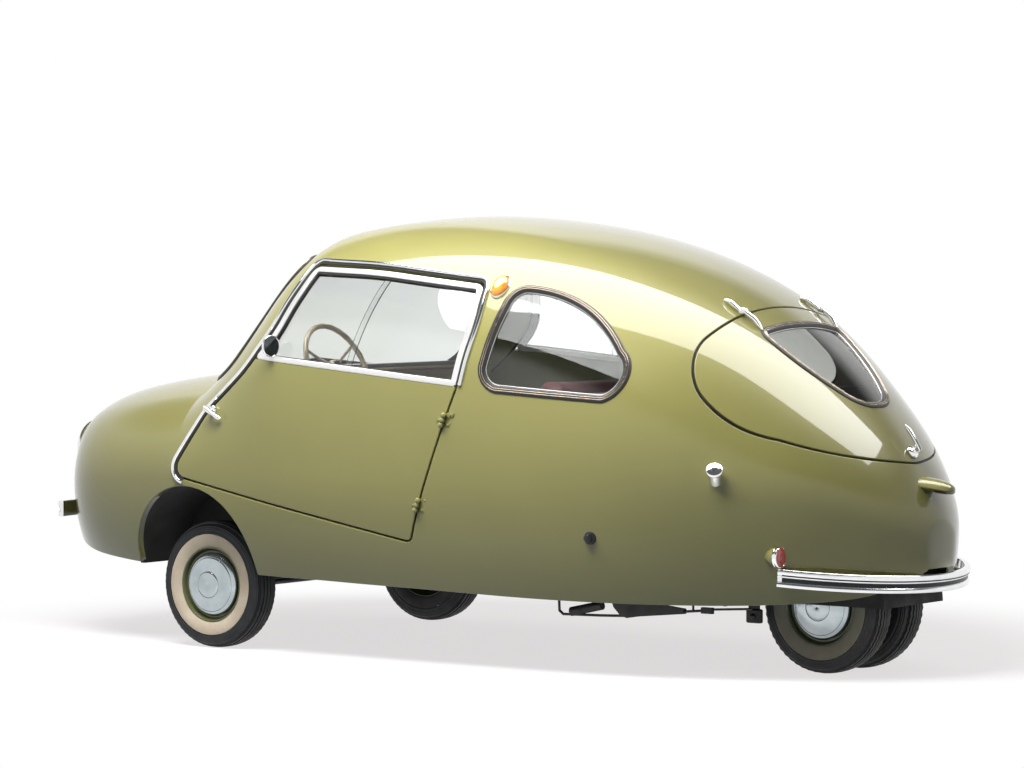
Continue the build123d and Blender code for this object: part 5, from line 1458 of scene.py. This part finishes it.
SEAMS = tuple(np.arange(-450.0, 451.0, 75.0))
cushion("bench_cushion", "seat_cushion",
        [(-298, -534, 328), (160, -534, 328), (160, 534, 328), (-298, 534, 328),
         (-298, -534, 434), (160, -534, 434), (160, 534, 434), (-298, 534, 434)],
        (-306, -545, 320.4), (172, 545, 452), SEAMS, (0, 0, 1))
cushion("bench_back", "seat_back",
        [(-424, -534, 330), (-324, -534, 330), (-324, 534, 330), (-424, 534, 330),
         (-535, -534, 862), (-447, -534, 876), (-447, 534, 876), (-535, 534, 862)],
        (-548, -545, 320.4), (-312, 545, 890), SEAMS, (1, 0, 0.2))
piping = Shape()
edge_run = section([(-286, -530, 30), (-286, 530, 30), (158, 530, 30), (158, -530, 30)], 12.0)
tube(piping, np.column_stack([edge_run, np.full(len(edge_run), 440.0)]), 4.0, sides=10, closed=True)
piping.make("cushion_piping", seat_piping, "car_body", "seat_cloth")

ivory = varied("wheel_ivory", (0.50, 0.40, 0.26), (0.62, 0.52, 0.36), 26.0, rough=(0.25, 0.38),
               Coat_Weight=0.5, stretch=(1, 1, 6))
HUB, COLUMN = np.array([495.0, 300.0, 882.0]), unit((-cos(radians(25)), 0, sin(radians(25))))
WHEEL_R = 140.0
hand_wheel = Shape()
around_wheel = round_angles(96)
across, upward = np.array([0, 1.0, 0]), -np.cross((0, 1.0, 0), COLUMN)
ring = HUB + (np.cos(around_wheel)[:, None] * across + np.sin(around_wheel)[:, None] * upward) * WHEEL_R
tube(hand_wheel, ring, 8.6 + 0.55 * np.cos(around_wheel * 24), closed=True, sides=14)
for a in (90, 210, 330):
    way = across * cos(radians(a)) + upward * sin(radians(a))
    spoke = np.array([HUB - COLUMN * 6 + way * r - COLUMN * 6 * sin(pi * r / WHEEL_R)
                      for r in np.linspace(18, 138, 13)])
    tube(hand_wheel, spoke, swell(spoke, [0, 0.2, 0.8, 1], [7.5, 5.2, 4.6, 6.0]), sides=12)
lathe(hand_wheel, HUB, COLUMN, [curve([(-24, 14), (-22, 24), (-6, 26), (3, 24), (7, 18)], 2.0)], 40)
lathe(hand_wheel, HUB, COLUMN, [curve([(7, 18), (9.6, 14), (10, 0.1)], 1.5)], 32, slot=1)
hand_wheel.make("steering_wheel_ivory", [ivory, black_parts_and_groove_shade], "steering_hand_wheel", "ivory",
                "steering_wheel")

# dashboard trim: a black crash roll, dark red piping, three dials and five knobs
oxblood_trim = varied("oxblood_trim", (0.10, 0.008, 0.010), (0.15, 0.014, 0.016), 60.0, rough=(0.35, 0.5))
dial_face = varied("dial_face", (0.02, 0.02, 0.02), (0.05, 0.05, 0.048), 200.0, rough=(0.2, 0.3),
                   Coat_Weight=1.0)
dash = Shape()
reach_y = np.linspace(-585, 585, 60)
for x, z, radius, slot, sides in ((588.0, 872.0, 9.0, 0, 16), (574.5, 858.0, 3.6, 1, 10),
                                  (583.0, 746.0, 3.6, 1, 10)):
    bar = np.column_stack([np.full(60, x), reach_y, np.full(60, z)])
    tube(dash, bar, radius, slot=slot, sides=sides)
DASH_OUT = unit((-1, 0, 0.065))
for y, r in ((300, 46), (160, 30), (40, 30)):
    bezel = curve([(-4, r + 4), (3, r + 4), (6, r + 1), (5, r - 2)], 1.2)
    lathe(dash, (579, y, 806), DASH_OUT, [bezel], 48, slot=2)
    lathe(dash, (579, y, 806), DASH_OUT, [[(4.0, r - 1), (4.4, r / 2), (4.6, 0.1)]], 48, slot=3)
knob = curve([(-3, 10), (3, 10), (5, 7), (12, 6), (18, 8), (22, 6.5), (23.5, 0.1)], 1.0)
for y in (-60, -110, -160, 400, 440):
    lathe(dash, (579, y, 790), DASH_OUT, [knob], 24, slot=2)
dash.make("dash_trim", [rubber, oxblood_trim, chrome, dial_face], "car_body", "black_plastic")

# ------------------------------------------------------- finishes of the frame's nodes
cast_metal = varied("cast_alloy", (0.28, 0.28, 0.27), (0.40, 0.40, 0.38), 30.0, rough=(0.45, 0.65), metal=0.9,
                    bumps=(160.0, 0.3, 0.001))
floor_paint = varied("floor_mat", (0.018, 0.018, 0.017), (0.040, 0.038, 0.034), 18.0, rough=(0.7, 0.9),
                     bumps=(500.0, 0.4, 0.001))
liner_black = varied("wheel_housing_black", (0.010, 0.010, 0.010), (0.024, 0.024, 0.022), 16.0,
                     rough=(0.6, 0.85), bumps=(300.0, 0.4, 0.0012))
greasy = varied("greasy_steel", (0.030, 0.028, 0.026), (0.075, 0.070, 0.064), 26.0, rough=(0.35, 0.6),
                metal=0.6, bumps=(200.0, 0.2, 0.0008))
FINISHES = {"wheel_housings": liner_black, "floor_pan": floor_paint, "chassis_frame": black_metal,
            "front_axle": greasy, "rear_swing_arm": greasy, "exhaust": black_metal,
            "brake_linkage": black_metal, "engine_block": cast_metal, "knuckle_left": greasy,
            "knuckle_right": greasy, "tie_rod": black_metal, "dashboard": paint,
            "steering_column": black_metal, "rear_shelf": seat_cloth}
for node, finish in FINISHES.items():
    for cad_slot in bpy.data.objects[node].material_slots:
        cad_slot.material = finish


# ------------------------------------------------------- stage, light and camera
# the camera, matched to the photo: its place in metres, its own axes, its focal length in picture widths
CAMERA_AT = Vector((-7.49466, 10.40501, 1.30035))
FOCAL_LENGTH = 4080.0 / 1024.0
SENSOR_WIDTH = 36.0
right = Vector((-0.810246829, -0.586088782, -0.000126647))
up = Vector((0.021451, -0.02987118, 0.99932355))
back = right.cross(up)

# where the floor begins and ends its fade to plain white, in metres from the origin, and its glow before that
FLOOR_FADE, FLOOR_GLOW, FLOOR_TINT, FLOOR_GREY = (1.5, 2.4), 0.70, (1, 0.975, 0.975), (0.32, 0.32, 0.32)
# the glow and the diffuse colour of the floor that diffuse rays meet
UNSEEN_GLOW, UNSEEN_GREY = (0.016, 0.044, 0.046), (0.035, 0.045, 0.045)


def seen_rays(nodes, links):
    """1 for the rays that show the background: the camera's, those off glossy surfaces and through glass."""
    path = nodes.new("ShaderNodeLightPath")
    so_far = path.outputs["Is Camera Ray"]
    for kind in ("Is Glossy Ray", "Is Transmission Ray"):
        either = nodes.new("ShaderNodeMath")
        either.operation = "MAXIMUM"
        links.new(so_far, either.inputs[0])
        links.new(path.outputs[kind], either.inputs[1])
        so_far = either.outputs[0]
    return so_far


def floor_material():
    """White to the camera, fading to plain white further out so that only the car's shadow shows.
    Other rays meet a darker floor, which keeps the car's lower sides deep in colour."""
    m, nodes, links, bsdf = node_tree("studio_floor")
    nodes.remove(bsdf)
    out = nodes["Material Output"]
    coords, length = nodes.new("ShaderNodeTexCoord"), nodes.new("ShaderNodeVectorMath")
    length.operation = "LENGTH"
    links.new(coords.outputs["Object"], length.inputs[0])
    far = nodes.new("ShaderNodeMapRange")
    far.interpolation_type = "SMOOTHSTEP"
    far.inputs["From Min"].default_value, far.inputs["From Max"].default_value = FLOOR_FADE
    links.new(length.outputs["Value"], far.inputs["Value"])

    def emission(strength, colour=(1, 1, 1)):
        e = nodes.new("ShaderNodeEmission")
        e.inputs["Color"].default_value = (*colour, 1)
        e.inputs["Strength"].default_value = strength
        return e.outputs[0]

    def diffuse(colour):
        d = nodes.new("ShaderNodeBsdfDiffuse")
        d.inputs["Color"].default_value = (*colour, 1)
        return d.outputs[0]

    def joined(kind, a, b, fac=None):
        s = nodes.new(kind)
        if fac is not None:
            links.new(fac, s.inputs[0])
        links.new(a, s.inputs[-2])
        links.new(b, s.inputs[-1])
        return s.outputs[0]

    near = joined("ShaderNodeAddShader", emission(FLOOR_GLOW, FLOOR_TINT), diffuse(FLOOR_GREY))
    seen = joined("ShaderNodeMixShader", near, emission(1.0), far.outputs["Result"])
    unseen = joined("ShaderNodeAddShader", emission(1.0, UNSEEN_GLOW), diffuse(UNSEEN_GREY))
    links.new(joined("ShaderNodeMixShader", unseen, seen, seen_rays(nodes, links)), out.inputs["Surface"])
    return m


floor_mesh = bpy.data.meshes.new("floor")
floor_mesh.from_pydata([(-40, -40, 0), (40, -40, 0), (40, 40, 0), (-40, 40, 0)], [], [(0, 1, 2, 3)])
floor_mesh.materials.append(floor_material())
floor = bpy.data.objects.new("floor", floor_mesh)
bpy.context.scene.collection.objects.link(floor)

# greys of the sky by height: what diffuse rays meet, and the backdrop that the camera sees
AMBIENT = [(0.0, 0.16), (0.5, 0.18), (0.9, 0.30)]
BACKDROP = [(0.44, 1.0), (0.56, 0.12)]
GLOSS_SIZE, GLOSS_LEVEL = (8.1, 2.55), 9.5      # the overhead box in metres, and its level against white
GLOSS_POWER = GLOSS_SIZE[0] * GLOSS_SIZE[1] * pi * GLOSS_LEVEL
DOOR_POWER, LID_POWER = 180.0, 12.0
world = bpy.data.worlds.new("studio")
bpy.context.scene.world = world
world.use_nodes = True
wn, wl = world.node_tree.nodes, world.node_tree.links
background = wn["Background"]
sky_coords, sky_axes = wn.new("ShaderNodeTexCoord"), wn.new("ShaderNodeSeparateXYZ")
wl.new(sky_coords.outputs["Generated"], sky_axes.inputs[0])


def sky_ramp(stops):
    """Colour by the height of a direction, from 0 at the horizon to 1 straight up."""
    node = wn.new("ShaderNodeValToRGB")
    wl.new(sky_axes.outputs["Z"], node.inputs["Fac"])
    for i, (height, level) in enumerate(stops):
        stop = node.color_ramp.elements[i] if i < 2 else node.color_ramp.elements.new(height)
        stop.position, stop.color = height, (level, level, level, 1)
    return node.outputs["Color"]


def mixed(fac, a, b):
    m = wn.new("ShaderNodeMix")
    m.data_type = "RGBA"
    for socket, value in (("Factor", fac), ("A", a), ("B", b)):
        if isinstance(value, tuple):
            m.inputs[socket].default_value = value
        else:
            wl.new(value, m.inputs[socket])
    return m.outputs["Result"]


# camera, glossy and transmission rays see one and the same backdrop, white with a darker studio overhead
backdrop = sky_ramp(BACKDROP)
wl.new(mixed(seen_rays(wn, wl), sky_ramp(AMBIENT), backdrop), background.inputs["Color"])
background.inputs["Strength"].default_value = 1.0


def soft_box(name, at, aim, size, power, mirrored):
    """A box of light that either glossy surfaces alone see (mirrored) or all but them and the camera.
    Without an aim it shines straight down, its length turned along the picture."""
    light = bpy.data.lights.new(name, "AREA")
    light.shape, light.size, light.size_y, light.energy = "RECTANGLE", size[0], size[1], power
    lamp = bpy.data.objects.new(name, light)
    lamp.location = at
    if aim is None:
        lamp.rotation_euler = (0, 0, atan2(right.y, right.x))
    else:
        lamp.rotation_euler = (Vector(aim) - Vector(at)).to_track_quat("-Z", "Y").to_euler()
    lamp.visible_diffuse, lamp.visible_glossy, lamp.visible_camera = not mirrored, mirrored, False
    bpy.context.scene.collection.objects.link(lamp)


soft_box("overhead_gloss", (-1.31, -0.66, 4.6), None, GLOSS_SIZE, GLOSS_POWER, True)
soft_box("door_fill", (-0.2, 1.85, 2.95), (-0.15, 0.5, 0.75), (2.6, 1.4), DOOR_POWER, False)
soft_box("lid_fill", (-2.9, -0.6, 4.0), (-0.8, 0.1, 0.8), (2.0, 2.0), LID_POWER, False)

camera_data = bpy.data.cameras.new("camera")
camera_data.sensor_width = SENSOR_WIDTH
camera_data.lens = FOCAL_LENGTH * SENSOR_WIDTH
camera = bpy.data.objects.new("camera", camera_data)
camera.matrix_world = Matrix.Translation(CAMERA_AT) @ Matrix((right, up, back)).transposed().to_4x4()
camera_data.clip_end = 200.0
bpy.context.scene.collection.objects.link(camera)
bpy.context.scene.camera = camera
bpy.context.scene.view_settings.view_transform = "Standard"
